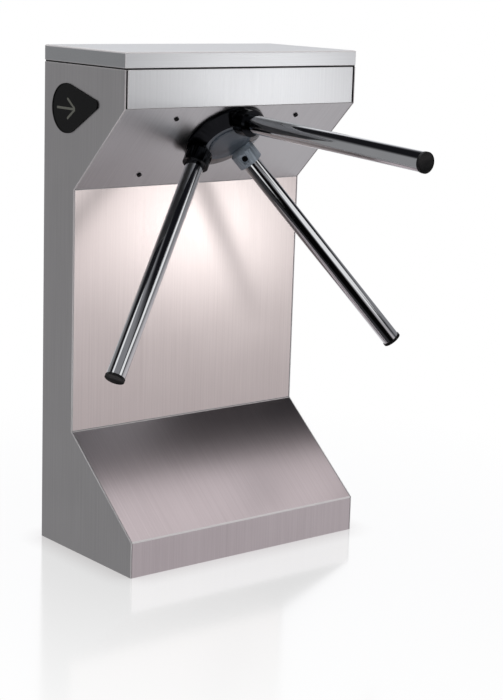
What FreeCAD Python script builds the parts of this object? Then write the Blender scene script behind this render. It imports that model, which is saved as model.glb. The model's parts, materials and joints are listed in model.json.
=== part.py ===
import FreeCAD, Part
import math
import os
import re
import Sketcher

Vector = FreeCAD.Vector
Rotation = FreeCAD.Rotation
Placement = FreeCAD.Placement

# Driving sizes, in millimetres and degrees.
# The origin is on the floor in the middle of the base, +X to the right, the front faces -Y, +Z is up.
SIZES = [
    # cabinet
    ("cabinet_width", 556),
    ("cabinet_height", 980),
    ("base_depth", 312),
    ("head_depth", 268),
    ("column_depth", 104),
    ("band_height", 71),
    ("panel_angle", 45),
    ("plinth_top", 240),
    ("plinth_front", 70),
    ("side_sheet", 2.5),
    ("front_sheet", 2),
    ("back_sheet", 2),
    ("base_sheet", 6),
    ("edge_round", 0.8),
    ("panel_joint", 0.8),
    ("band_joint", 4),
    ("flange_width", 14),
    ("cut_overrun", 1),
    # floor fixing
    ("anchor_spacing_x", 420),
    ("anchor_spacing_y", 220),
    ("anchor_hole_radius", 7),
    ("cable_entry_radius", 30),
    ("cable_entry_y", 30),
    # lid
    ("lid_height", 29),
    ("lid_gap", 3),
    ("lid_sheet", 2),
    ("lid_round", 3),
    ("seal_inset", 1.2),
    ("seal_width", 9),
    ("seal_clearance", 0.2),
    # rear door
    ("door_width", 340),
    ("door_height", 420),
    ("door_bottom", 60),
    ("door_gap", 1.5),
    ("door_stop_clearance", 0.3),
    ("door_stop_width", 12),
    # hinges
    ("hinge_length", 60),
    ("leaf_width", 22),
    ("leaf_sheet", 2),
    ("knuckle_radius", 5),
    ("knuckle_gap", 0.4),
    ("hinge_pin_radius", 2.5),
    ("hinge_pin_head_radius", 4),
    ("hinge_pin_head_height", 1.5),
    ("running_clearance", 0.05),
    ("lid_hinge_spacing", 300),
    ("door_hinge_spacing", 280),
    # cam locks
    ("lock_face_radius", 11),
    ("lock_face_height", 3),
    ("lock_neck_radius", 9),
    ("lid_lock_neck", 22),
    ("door_lock_neck", 5.2),
    ("lock_hole_clearance", 0.2),
    ("lock_plug_radius", 6),
    ("lock_cam_length", 30),
    ("lock_cam_sheet", 4),
    ("door_lock_inset", 26),
    ("lid_lock_depth", 215),
    ("lid_lock_drop", 57),
    ("catch_width", 16),
    ("catch_sheet", 3),
    # side indicators
    ("indicator_radius", 47),
    ("indicator_tip_radius", 9),
    ("indicator_reach", 97),
    ("indicator_tilt", 8),
    ("indicator_depth", 78),
    ("indicator_drop", 83),
    ("bezel_wall", 4),
    ("bezel_proud", 3),
    ("bezel_length", 15),
    ("lens_inset", 1),
    ("lens_sheet", 4),
    ("indicator_fit", 0.2),
    ("board_sheet", 2),
    # tripod head
    ("hub_rise", 146),
    ("hub_radius", 84),
    ("hub_face_radius", 50),
    ("hub_cone_angle", 20),
    ("hub_skirt", 4),
    ("hub_clearance", 1.5),
    ("hub_neck_radius", 25),
    ("cap_radius", 40),
    ("cap_recess", 3),
    ("cap_height", 6),
    ("cap_chamfer", 1.5),
    ("apex_depth", 50),
    ("arm_angle", 42),
    ("arm_radius", 18),
    ("arm_wall", 1.5),
    ("arm_start", 92),
    ("arm_reach", 592),
    ("end_cap_radius", 19),
    ("end_cap_sheet", 5),
    ("end_cap_plug", 22),
    ("socket_radius", 25.5),
    ("socket_start", 80),
    ("socket_end", 118),
    ("socket_chamfer", 10),
    ("set_screw_radius", 6),
    ("set_screw_recess", 5),
    ("set_screw_recess_radius", 7.5),
    ("set_screw_place", 101),
    # mechanism plate and bearings, measured along the tripod's axis from the slanted panel's outer face
    ("panel_hole_radius", 38),
    ("plate_width", 318),
    ("plate_low_margin", 22),
    ("plate_top_margin", 17),
    ("plate_sheet", 8),
    ("plate_bore_radius", 28),
    ("screw_inset", 14),
    ("screw_radius", 2.5),
    ("screw_head_radius", 4.6),
    ("screw_head_height", 2.4),
    ("screw_socket_radius", 2),
    ("housing_radius", 42),
    ("housing_flange_radius", 54),
    ("housing_flange", 8),
    ("housing_length", 48),
    ("housing_bolt_circle", 48),
    ("housing_bolt_radius", 3),
    ("housing_bolt_count", 6),
    ("bolt_head_radius", 5.5),
    ("bolt_head_height", 5),
    ("bearing_radius", 31),
    ("bearing_width", 16),
    ("bearing_gap", 10),
    ("bearing_split", 20.7),
    ("bearing_running_gap", 0.3),
    ("shaft_radius", 15),
    ("shaft_end", 118),
    ("hub_bolt_radius", 6),
    ("hub_bolt_head_radius", 11),
    ("hub_bolt_head_height", 6),
    ("hub_bolt_length", 28),
    ("hub_bolt_room", 3),
    ("hub_washer_radius", 19),
    ("hub_washer_sheet", 2),
    ("nut_radius", 24),
    ("nut_height", 10),
    ("boss_radius", 19.5),
    # locking
    ("disc_radius", 50),
    ("disc_sheet", 8),
    ("disc_start", 62),
    ("notch_count", 6),
    ("notch_width", 14),
    ("notch_depth", 10),
    ("pawl_reach", 45),
    ("pawl_tail", 58),
    ("pawl_rest_gap", 1.5),
    ("pawl_boss_radius", 9),
    ("pawl_waist", 7.2),
    ("pawl_arm_width", 9),
    ("pawl_nose_width", 9),
    ("pawl_nose_length", 9.5),
    ("pawl_tail_width", 12),
    ("pawl_slot_radius", 4.2),
    ("pivot_radius", 5),
    ("pivot_clip_height", 2.5),
    ("link_pin_radius", 2.5),
    ("fork_sheet", 3),
    ("fork_gap", 0.8),
    ("fork_room", 2.5),
    ("fork_width", 12),
    ("plunger_radius", 6),
    ("plunger_length", 34),
    ("solenoid_start", 2),
    ("solenoid_length", 32),
    ("solenoid_width", 24),
    ("solenoid_height", 20),
    ("solenoid_foot_width", 16),
    ("solenoid_wall", 1),
    # centring and damping
    ("gear_module", 2),
    ("gear_teeth", 60),
    ("pinion_teeth", 20),
    ("gear_start", 76),
    ("gear_sheet", 10),
    ("gear_backlash", 0.3),
    ("damper_bearing_angle", 150),
    ("stub_radius", 7),
    ("stub_shoulder_radius", 12),
    ("stub_clip_radius", 9),
    ("crank_disc_sheet", 4),
    ("crank_radius", 14),
    ("crank_pin_radius", 4),
    ("crank_pin_length", 16),
    ("spring_radius", 5),
    ("spring_wall", 1.2),
    ("spring_post_drop", 100),
    ("spring_hook_radius", 6.2),
    ("spring_hook_sheet", 2),
    ("spring_hook_space", 9),
    ("spring_hook_root", 1),
    ("damper_radius", 22),
    ("damper_flange_radius", 25),
    ("damper_flange", 4),
    ("damper_end", 66),
    ("damper_shaft_radius", 6),
    ("damper_shaft_depth", 12),
    ("damper_end_gap", 1),
    # electrics
    ("sensor_width", 16),
    ("sensor_thickness", 10),
    ("sensor_offset", 57),
    ("control_width", 200),
    ("control_height", 120),
    ("control_drop", 53),
    ("standoff_length", 10),
    ("standoff_radius", 4),
    ("standoff_inset", 8),
    ("supply_width", 160),
    ("supply_height", 95),
    ("supply_depth", 45),
    ("supply_gap", 40),
]

doc = FreeCAD.newDocument("TripodTurnstile")
sheet = doc.addObject("Spreadsheet::Sheet", "Sizes")
for row, (alias, size) in enumerate(SIZES, start=1):
    sheet.set(f"A{row}", alias)
    sheet.set(f"B{row}", str(size))
    sheet.setAlias(f"B{row}", alias)
doc.recompute()

SIZE_WORDS = re.compile(r"\b(" + "|".join(alias for alias, size in SIZES) + r")\b")

# Places that many pieces share, as texts that the sheet works out.
BACK = "(base_depth / 2)"
HEAD_FRONT = "(base_depth / 2 - head_depth)"
COLUMN_FRONT = "(base_depth / 2 - column_depth)"
PLINTH_FACE = "(-base_depth / 2)"
SHELL_TOP = "(cabinet_height - lid_height - lid_gap)"
BAND_BOTTOM = f"({SHELL_TOP} - band_height)"
INNER_HALF = "(cabinet_width / 2 - side_sheet)"
PANEL_HALF = "(cabinet_width / 2 - side_sheet - panel_joint)"
BAND_HALF = "(cabinet_width / 2 - side_sheet - band_joint)"
RISE = "tan(panel_angle * 1 deg)"
RECESS_TOP = f"({BAND_BOTTOM} - (head_depth - column_depth) * {RISE})"
PANEL_LENGTH = "((head_depth - column_depth) / cos(panel_angle * 1 deg))"
# how far a folded corner's inner edge lies above or below its outer edge
MITRE_HEAD = "(front_sheet * (1 - sin(panel_angle * 1 deg)) / cos(panel_angle * 1 deg))"
FALL = "((plinth_top - plinth_front) / (base_depth - column_depth))"
MITRE_PLINTH = f"(front_sheet * (sqrt(1 + {FALL} * {FALL}) - {FALL}))"
# along the tripod's axis, with the slanted panel's outer face at zero and the inside negative
PLATE_BACK = "(-front_sheet - plate_sheet)"
PLATE_LOW = "(plate_low_margin - hub_rise)"
PLATE_TOP = f"({PANEL_LENGTH} - plate_top_margin - hub_rise)"
HOUSING_BACK = f"({PLATE_BACK} - housing_length)"
HUB_BASE = "(hub_clearance + hub_skirt)"
HUB_FACE = f"({HUB_BASE} + (hub_radius - hub_face_radius) * tan(hub_cone_angle * 1 deg))"
RECESS_FLOOR = f"({HUB_FACE} - cap_recess)"
SHAFT_TIP = f"({RECESS_FLOOR} - hub_bolt_room - hub_bolt_head_height - hub_washer_sheet)"
DISC_BACK = "(-disc_start - disc_sheet)"
GEAR_BACK = "(-gear_start - gear_sheet)"
CRANK_BACK = f"({GEAR_BACK} - crank_disc_sheet)"
CRANK_TIP = f"({CRANK_BACK} - crank_pin_length)"
GEAR_DISTANCE = "(gear_module * (gear_teeth + pinion_teeth) / 2)"
PLUNGER_LEVEL = "(-disc_start - disc_sheet / 2)"

# how far a face may lean from the way that it is said to look
FACING_ANGLE = math.radians(2)

pieces = []


def formula(text):
    """Write the sheet's name before each size that an expression names."""
    return SIZE_WORDS.sub(r"Sizes.\1", str(text))


def value(text):
    """The number that an expression gives."""
    return float(sheet.evalExpression(formula(text)))


def bind(item, **texts):
    for name, text in texts.items():
        item.setExpression(name, formula(text))
    return item


def at(item, x=0, y=0, z=0):
    """Bind an object's place to sizes."""
    for axis, text in zip("xyz", (x, y, z)):
        item.setExpression(f"Placement.Base.{axis}", formula(text))
    return item


def put(item, place):
    """Give an object a place that isn't bound to sizes one axis at a time."""
    for axis in "xyz":
        item.setExpression(f"Placement.Base.{axis}", None)
    item.Placement = place
    return item


def turned(item, axis, angle):
    item.Placement = Placement(item.Placement.Base, Rotation(Vector(*axis), angle))
    return item


def box(name, x, y, z):
    """A box between two bound limits on each axis."""
    item = doc.addObject("Part::Box", name)
    bind(
        item,
        Length=f"({x[1]}) - ({x[0]})",
        Width=f"({y[1]}) - ({y[0]})",
        Height=f"({z[1]}) - ({z[0]})",
    )
    return at(item, x[0], y[0], z[0])


def rod(name, radius, low, high, x=0, y=0):
    """A cylinder along Z between two bound heights."""
    item = doc.addObject("Part::Cylinder", name)
    bind(item, Radius=radius, Height=f"({high}) - ({low})")
    return at(item, x, y, low)


def hexagon(name, radius, low, high, x=0, y=0):
    item = doc.addObject("Part::Prism", name)
    item.Polygon = 6
    bind(item, Circumradius=radius, Height=f"({high}) - ({low})")
    return at(item, x, y, low)


def fuse(name, *items):
    item = doc.addObject("Part::MultiFuse", name)
    item.Shapes = list(items)
    return item


def group(name, *items):
    item = doc.addObject("Part::Compound", name)
    item.Links = list(items)
    return item


def cut(name, base, *tools):
    item = doc.addObject("Part::Cut", name)
    item.Base = base
    item.Tool = tools[0] if len(tools) == 1 else fuse(f"{name}_cuts", *tools)
    return item


def mirrored(name, source):
    """The same piece on the other side of the cabinet."""
    item = doc.addObject("Part::Mirroring", name)
    item.Source = source
    item.Normal = Vector(1, 0, 0)
    return item


def origin_plane(body, role):
    return next(plane for plane in body.Origin.OriginFeatures if plane.Role == role)


def outline_sketch(body, role, points):
    """A closed outline of straight edges whose corners are bound to sizes."""
    sketch = body.newObject("Sketcher::SketchObject", f"{body.Name}_outline")
    sketch.AttachmentSupport = [(origin_plane(body, role), "")]
    sketch.MapMode = "FlatFace"
    corners = [Vector(value(x), value(y), 0) for x, y in points]
    count = len(corners)
    for index, corner in enumerate(corners):
        sketch.addGeometry(Part.LineSegment(corner, corners[(index + 1) % count]), False)
    for index in range(count):
        sketch.addConstraint(Sketcher.Constraint("Coincident", index, 2, (index + 1) % count, 1))
    for index, texts in enumerate(points):
        for kind, text in zip(("DistanceX", "DistanceY"), texts):
            place = Sketcher.Constraint(kind, -1, 1, index, 1, value(text))
            number = sketch.addConstraint(place)
            sketch.setExpression(f"Constraints[{number}]", formula(text))
    return sketch


def folded(name, points, low, high):
    """A sheet or plate whose outline in the YZ plane runs along X between two limits."""
    body = doc.addObject("PartDesign::Body", name)
    pad = body.newObject("PartDesign::Pad", f"{name}_pad")
    pad.Profile = outline_sketch(body, "YZ_Plane", points)
    bind(pad, Length=f"({high}) - ({low})")
    return at(body, low)


def lathe(name, points):
    """A turned piece: radius and height of each corner of its half section."""
    body = doc.addObject("PartDesign::Body", name)
    sketch = outline_sketch(body, "XZ_Plane", points)
    turn = body.newObject("PartDesign::Revolution", f"{name}_turn")
    turn.Profile = sketch
    turn.ReferenceAxis = (sketch, ["V_Axis"])
    turn.Angle = 360
    return body


def plate(name, points, low, high):
    """A flat plate with an outline in the XY plane."""
    body = doc.addObject("PartDesign::Body", name)
    pad = body.newObject("PartDesign::Pad", f"{name}_pad")
    pad.Profile = outline_sketch(body, "XY_Plane", points)
    bind(pad, Length=f"({high}) - ({low})")
    return at(body, 0, 0, low)


def round_face(body, pad, normal, radius):
    """Round all edges of the outermost face that looks along a direction."""
    doc.recompute()
    faces = list(enumerate(pad.Shape.Faces, start=1))
    flat = [
        (face.CenterOfMass.dot(normal), index)
        for index, face in faces
        if face.normalAt(0, 0).getAngle(normal) < FACING_ANGLE
    ]
    fillet = body.newObject("PartDesign::Fillet", f"{body.Name}_round")
    fillet.Base = (pad, [f"Face{max(flat)[1]}"])
    bind(fillet, Radius=radius)


def keep(node, item):
    """Count an object as a finished sub-part under its node's name."""
    item.Label = node
    pieces.append(item)
    return item


def mechanism_place(x=0, y=0, z=0, turn=None):
    """A place on the tripod's axis: Y runs up the slanted panel and Z out of it."""
    rise = value("hub_rise")
    angle = math.radians(value("panel_angle"))
    centre = Vector(
        0,
        value(COLUMN_FRONT) - rise * math.cos(angle),
        value(RECESS_TOP) + rise * math.sin(angle),
    )
    axis = Placement(centre, Rotation(Vector(1, 0, 0), 180 - value("panel_angle")))
    return axis.multiply(Placement(Vector(x, y, z), turn or Rotation()))


def keep_seated(node, item):
    """A finished sub-part that was drawn along the tripod's axis."""
    return keep(node, put(item, mechanism_place().multiply(item.Placement)))


# Side indicators: a drop-shaped window that points to the front
LEFT_SIDE = Rotation(Vector(0, -1, 0), Vector(0, 0, 1), Vector(-1, 0, 0), "ZXY")
RIGHT_SIDE = Rotation(Vector(0, -1, 0), Vector(0, 0, -1), Vector(1, 0, 0), "ZXY")
SIDES = {"left": (-1, LEFT_SIDE), "right": (1, RIGHT_SIDE)}


def drop(name, side, grow, low, high):
    """A plate with a drop-shaped outline, between two distances outside the side plate."""
    sign, turn = SIDES[side]
    body = doc.addObject("PartDesign::Body", name)
    sketch = body.newObject("Sketcher::SketchObject", f"{name}_outline")
    sketch.AttachmentSupport = [(origin_plane(body, "XY_Plane"), "")]
    sketch.MapMode = "FlatFace"
    big = value(f"indicator_radius + {grow}")
    small = value(f"indicator_tip_radius + {grow}")
    reach = value("indicator_reach")
    tilt = math.radians(value("indicator_tilt")) * -sign
    spread = math.acos((big - small) / reach)
    tip = Vector(reach * math.cos(tilt), reach * math.sin(tilt), 0)
    up, down = tilt + spread, tilt - spread

    def round_point(centre, radius, angle):
        return centre + Vector(radius * math.cos(angle), radius * math.sin(angle), 0)

    middle, normal = Vector(), Vector(0, 0, 1)
    edges = (
        Part.ArcOfCircle(Part.Circle(middle, normal, big), up, down + 2 * math.pi),
        Part.LineSegment(round_point(middle, big, down), round_point(tip, small, down)),
        Part.ArcOfCircle(Part.Circle(tip, normal, small), down, up),
        Part.LineSegment(round_point(tip, small, up), round_point(middle, big, up)),
    )
    for edge in edges:
        sketch.addGeometry(edge, False)
    for first, second in ((0, 1), (1, 2), (2, 3), (3, 0)):
        sketch.addConstraint(Sketcher.Constraint("Tangent", first, 2, second, 1))
    sketch.addConstraint(Sketcher.Constraint("Coincident", 0, 3, -1, 1))
    bound = (
        (Sketcher.Constraint("Radius", 0, big), f"indicator_radius + {grow}"),
        (Sketcher.Constraint("Radius", 2, small), f"indicator_tip_radius + {grow}"),
        (
            Sketcher.Constraint("DistanceX", -1, 1, 2, 3, tip.x),
            "indicator_reach * cos(indicator_tilt * 1 deg)",
        ),
        (
            Sketcher.Constraint("DistanceY", -1, 1, 2, 3, tip.y),
            f"{-sign} * indicator_reach * sin(indicator_tilt * 1 deg)",
        ),
    )
    for constraint, text in bound:
        number = sketch.addConstraint(constraint)
        sketch.setExpression(f"Constraints[{number}]", formula(text))
    pad = body.newObject("PartDesign::Pad", f"{name}_pad")
    pad.Profile = sketch
    bind(pad, Length=f"({high}) - ({low})")
    body.Placement = Placement(Vector(), turn)
    return at(
        body,
        f"{sign} * (cabinet_width / 2 + ({low}))",
        f"{BACK} - indicator_depth",
        f"{SHELL_TOP} - indicator_drop",
    )


def indicator(side):
    """Bezel, lens and light board of one side."""
    rim = drop(f"{side}_bezel_rim", side, 0, "-side_sheet - indicator_fit", "bezel_proud")
    hidden = "-side_sheet - indicator_fit - bezel_length"
    collar = drop(f"{side}_bezel_collar", side, "bezel_wall", hidden, "-side_sheet - indicator_fit")
    bore = drop(f"{side}_bezel_bore", side, "-bezel_wall", hidden, "bezel_proud")
    lens_base, lens_face = "bezel_proud - lens_inset - lens_sheet", "bezel_proud - lens_inset"
    seat = drop(f"{side}_bezel_seat", side, "-bezel_wall / 2", lens_base, "bezel_proud")
    body = fuse(f"{side}_bezel_body", rim, collar)
    keep(f"{side}_indicator_bezel", cut(f"{side}_bezel", body, bore, seat))
    lens = drop(f"{side}_lens", side, "-bezel_wall / 2 - indicator_fit", lens_base, lens_face)
    keep(f"{side}_indicator_lens", lens)
    board_face = f"{hidden} - board_sheet"
    return drop(f"{side}_light_board", side, "bezel_wall", board_face, hidden)


# Cam locks and hinges, drawn with Z pointing out of the sheet that carries them


def cam_lock(name, length):
    """A lock barrel of a given length and its turning plug with key slot and cam."""
    face = rod(f"{name}_face", "lock_face_radius", 0, "lock_face_height")
    neck = rod(f"{name}_neck_tube", "lock_neck_radius", f"-{length}", 0)
    bore = rod(f"{name}_bore", "lock_plug_radius + running_clearance", f"-{length}", "lock_face_height")
    barrel = cut(f"{name}_barrel", fuse(f"{name}_barrel_body", face, neck), bore)
    plug = rod(f"{name}_plug", "lock_plug_radius", f"-{length} - knuckle_gap", "lock_face_height")
    key_slot = box(
        f"{name}_key_slot",
        ("-lock_plug_radius / 8", "lock_plug_radius / 8"),
        ("-lock_plug_radius * 2 / 3", "lock_plug_radius * 2 / 3"),
        ("lock_face_height - lock_plug_radius / 2", "lock_face_height + cut_overrun"),
    )
    cam = box(
        f"{name}_cam_blade",
        ("-lock_plug_radius", "lock_cam_length"),
        ("-lock_plug_radius", "lock_plug_radius"),
        (f"-{length} - knuckle_gap - lock_cam_sheet", f"-{length} - knuckle_gap"),
    )
    turning = cut(f"{name}_cam", fuse(f"{name}_cam_body", plug, cam), key_slot)
    return barrel, turning


def hinge(name):
    """Frame leaf, moving leaf and pin of one butt hinge, the pin along X and the moving leaf on +Y."""
    third = "hinge_length / 6"
    ends = {
        "frame": (
            ("-hinge_length / 2", f"-{third} - knuckle_gap / 2"),
            (f"{third} + knuckle_gap / 2", "hinge_length / 2"),
        ),
        "moving": ((f"-{third} + knuckle_gap / 2", f"{third} - knuckle_gap / 2"),),
    }
    level = ("-knuckle_radius", "-knuckle_radius + leaf_sheet")
    near = "(knuckle_radius + knuckle_gap)"
    leaves = []
    for part, sign in (("frame", -1), ("moving", 1)):
        across = ("-leaf_width", f"-{near}") if sign < 0 else (near, "leaf_width")
        tab = (f"-{near}", "0") if sign < 0 else ("0", near)
        solids = [box(f"{name}_{part}_leaf", ("-hinge_length / 2", "hinge_length / 2"), across, level)]
        for index, reach in enumerate(ends[part]):
            solids.append(box(f"{name}_{part}_tab_{index}", reach, tab, level))
            length = f"({reach[1]}) - ({reach[0]})"
            knuckle = rod(f"{name}_{part}_knuckle_{index}", "knuckle_radius", 0, length)
            turned(knuckle, (0, 1, 0), 90)
            solids.append(at(knuckle, reach[0]))
        bore = rod(f"{name}_{part}_bore", "hinge_pin_radius + running_clearance", 0, "hinge_length")
        turned(bore, (0, 1, 0), 90)
        at(bore, "-hinge_length / 2")
        leaves.append(cut(f"{name}_{part}", fuse(f"{name}_{part}_body", *solids), bore))
    bar = rod(f"{name}_bar", "hinge_pin_radius", 0, "hinge_length")
    head = rod(f"{name}_pin_head", "hinge_pin_head_radius", 0, "hinge_pin_head_height")
    for item in (bar, head):
        turned(item, (0, 1, 0), 90)
    at(bar, "-hinge_length / 2")
    at(head, "hinge_length / 2")
    return leaves[0], leaves[1], fuse(f"{name}_pin", bar, head)


LID_HINGE_TURN = ((0, 1, 1), 180)
DOOR_HINGE_TURN = ((1, 1, 1), -120)
DOOR_HINGE_X = "(-door_width / 2 - door_gap / 2)"
DOOR_MIDDLE = "(door_bottom + door_height / 2)"


def hinges():
    """Two hinges for the lid and two for the rear door."""
    places = []
    for side in (-1, 1):
        lid_x = f"{side} * lid_hinge_spacing / 2"
        lid_z = "cabinet_height - lid_height - lid_gap / 2"
        places.append((LID_HINGE_TURN, (lid_x, f"{BACK} + knuckle_radius", lid_z)))
    for side in (-1, 1):
        door_z = f"{DOOR_MIDDLE} + {side} * door_hinge_spacing / 2"
        places.append((DOOR_HINGE_TURN, (DOOR_HINGE_X, f"{BACK} + knuckle_radius", door_z)))
    made = []
    for number, (turn, place) in enumerate(places):
        made.append([at(turned(item, *turn), *place) for item in hinge(f"hinge_{number}")])
    keep("hinge_frame_leaves", group("frame_leaves", *[leaves[0] for leaves in made]))
    keep("hinge_pins", group("pins", *[leaves[2] for leaves in made]))
    keep("lid_hinge_leaves", group("lid_leaves", *[leaves[1] for leaves in made[:2]]))
    keep("door_hinge_leaves", group("door_leaves", *[leaves[1] for leaves in made[2:]]))


# Cabinet

LID_LOCK_Y = f"({BACK} - lid_lock_depth)"
LID_LOCK_Z = "(cabinet_height - lid_lock_drop)"
DOOR_LOCK_X = "(door_width / 2 - door_lock_inset)"


def side_plate(side):
    """A side plate cut to the cabinet's profile, with a flange along its top."""
    sign = SIDES[side][0]
    profile = [
        (BACK, 0),
        (BACK, SHELL_TOP),
        (HEAD_FRONT, SHELL_TOP),
        (HEAD_FRONT, BAND_BOTTOM),
        (COLUMN_FRONT, RECESS_TOP),
        (COLUMN_FRONT, "plinth_top"),
        (PLINTH_FACE, "plinth_front"),
        (PLINTH_FACE, 0),
    ]
    outer, inner = f"{sign} * cabinet_width / 2", f"{sign} * {INNER_HALF}"
    low, high = (outer, inner) if sign < 0 else (inner, outer)
    body = folded(f"{side}_sheet", profile, low, high)
    round_face(body, body.Tip, Vector(sign, 0, 0), "edge_round")
    reach = f"{sign} * ({INNER_HALF} - flange_width)"
    flange = box(
        f"{side}_flange",
        (inner, reach) if sign < 0 else (reach, inner),
        (f"{HEAD_FRONT} + front_sheet + flange_width + panel_joint", f"{BACK} - back_sheet - panel_joint"),
        (f"{SHELL_TOP} - side_sheet", SHELL_TOP),
    )
    holes = [drop(f"{side}_window", side, "indicator_fit", "-2 * side_sheet", "side_sheet")]
    if side == "right":
        lock_hole = rod("lid_lock_hole", "lock_neck_radius + lock_hole_clearance", 0, "4 * side_sheet")
        turned(lock_hole, (0, 1, 0), 90)
        holes.append(at(lock_hole, "cabinet_width / 2 - 2 * side_sheet", LID_LOCK_Y, LID_LOCK_Z))
    keep(f"{side}_side_plate", cut(f"{side}_plate", fuse(f"{side}_blank", body, flange), *holes))


def base_plate():
    slab = box(
        "base_slab",
        (f"-{PANEL_HALF}", PANEL_HALF),
        (f"{PLINTH_FACE} + front_sheet + panel_joint", f"{BACK} - back_sheet - panel_joint"),
        (0, "base_sheet"),
    )
    through = ("-cut_overrun", "base_sheet + cut_overrun")
    holes = [
        rod(
            f"anchor_hole_{x}_{y}",
            "anchor_hole_radius",
            *through,
            f"{x - 0.5} * anchor_spacing_x",
            f"{y - 0.5} * anchor_spacing_y",
        )
        for x in (0, 1)
        for y in (0, 1)
    ]
    holes.append(rod("cable_entry", "cable_entry_radius", *through, 0, "cable_entry_y"))
    keep("base_plate", cut("base", slab, *holes))


def door_frame_box(name, grow, y):
    """A box the size of the rear door, grown by a margin on all four sides."""
    return box(
        name,
        (f"-door_width / 2 - ({grow})", f"door_width / 2 + ({grow})"),
        y,
        (f"door_bottom - ({grow})", f"door_bottom + door_height + ({grow})"),
    )


def back_panel():
    """The back sheet with the door's opening, a stop frame behind it and a top flange."""
    sheet_y = (f"{BACK} - back_sheet", BACK)
    stop_y = (f"{BACK} - 2 * back_sheet", f"{BACK} - back_sheet")
    past_y = (f"{BACK} - 3 * back_sheet", f"{BACK} + back_sheet")
    blank = box("back_sheet_blank", (f"-{PANEL_HALF}", PANEL_HALF), sheet_y, (0, SHELL_TOP))
    stop = cut(
        "door_stop",
        door_frame_box("door_stop_outer", "door_stop_width", stop_y),
        door_frame_box("door_stop_inner", "-door_stop_width", past_y),
    )
    flange_half = f"({INNER_HALF} - flange_width - panel_joint)"
    flange = box(
        "back_flange",
        (f"-{flange_half}", flange_half),
        (f"{BACK} - back_sheet - flange_width", f"{BACK} - back_sheet"),
        (f"{SHELL_TOP} - back_sheet", SHELL_TOP),
    )
    opened = cut("back_opened", blank, door_frame_box("door_opening", "door_gap", past_y))
    keep("back_panel", fuse("back", opened, stop, flange))


def rear_door():
    leaf = door_frame_box("door_leaf", 0, (f"{BACK} - back_sheet + door_stop_clearance", BACK))
    hole = rod("door_lock_hole", "lock_neck_radius + lock_hole_clearance", 0, "4 * back_sheet")
    turned(hole, (1, 0, 0), 90)
    at(hole, DOOR_LOCK_X, f"{BACK} + 2 * back_sheet", DOOR_MIDDLE)
    keep("rear_door", cut("door", leaf, hole))
    barrel, cam = cam_lock("door_lock", "door_lock_neck")
    for item in (barrel, cam):
        turned(item, (1, 0, 0), -90)
        at(item, DOOR_LOCK_X, BACK, DOOR_MIDDLE)
    # the cam hangs down while the door is free to open
    cam.Placement = cam.Placement.multiply(Placement(Vector(), Rotation(Vector(0, 0, 1), 90)))
    keep("door_lock_barrel", barrel)
    keep("door_lock_cam", cam)


def front_sheets():
    """The four sheets between the side plates, from the lid down to the floor."""
    inner_head = f"{HEAD_FRONT} + front_sheet"
    inner_column = f"{COLUMN_FRONT} + front_sheet"
    inner_plinth = f"{PLINTH_FACE} + front_sheet"
    flange_end = f"{HEAD_FRONT} + front_sheet + flange_width"
    across = (f"-{PANEL_HALF}", PANEL_HALF)
    band = [
        (HEAD_FRONT, f"{BAND_BOTTOM} + panel_joint"),
        (HEAD_FRONT, SHELL_TOP),
        (flange_end, SHELL_TOP),
        (flange_end, f"{SHELL_TOP} - front_sheet"),
        (inner_head, f"{SHELL_TOP} - front_sheet"),
        (inner_head, f"{BAND_BOTTOM} + {MITRE_HEAD} + panel_joint"),
    ]
    slant = [
        (COLUMN_FRONT, RECESS_TOP),
        (HEAD_FRONT, BAND_BOTTOM),
        (inner_head, f"{BAND_BOTTOM} + {MITRE_HEAD}"),
        (inner_column, f"{RECESS_TOP} + {MITRE_HEAD}"),
    ]
    column = [
        (COLUMN_FRONT, "plinth_top + panel_joint"),
        (COLUMN_FRONT, f"{RECESS_TOP} - panel_joint"),
        (inner_column, f"{RECESS_TOP} + {MITRE_HEAD} - panel_joint"),
        (inner_column, f"plinth_top - {MITRE_PLINTH} + panel_joint"),
    ]
    plinth = [
        (COLUMN_FRONT, "plinth_top"),
        (PLINTH_FACE, "plinth_front"),
        (PLINTH_FACE, 0),
        (inner_plinth, 0),
        (inner_plinth, f"plinth_front - {MITRE_PLINTH}"),
        (inner_column, f"plinth_top - {MITRE_PLINTH}"),
    ]
    keep("front_band", folded("band_sheet", band, f"-{BAND_HALF}", BAND_HALF))
    keep("column_panel", folded("column_sheet", column, *across))
    keep("plinth_cover", folded("plinth_sheet", plinth, *across))
    blank = folded("slant_sheet", slant, *across)
    through = ("-front_sheet - cut_overrun", "cut_overrun")
    holes = [rod("hub_hole", "panel_hole_radius", *through)]
    for index, place in enumerate(SCREW_PLACES):
        holes.append(rod(f"panel_screw_hole_{index}", "screw_radius", *through, *place))
    tools = fuse("slant_holes", *holes)
    tools.Placement = mechanism_place()
    keep("mechanism_panel", cut("slant_panel", blank, tools))


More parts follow.
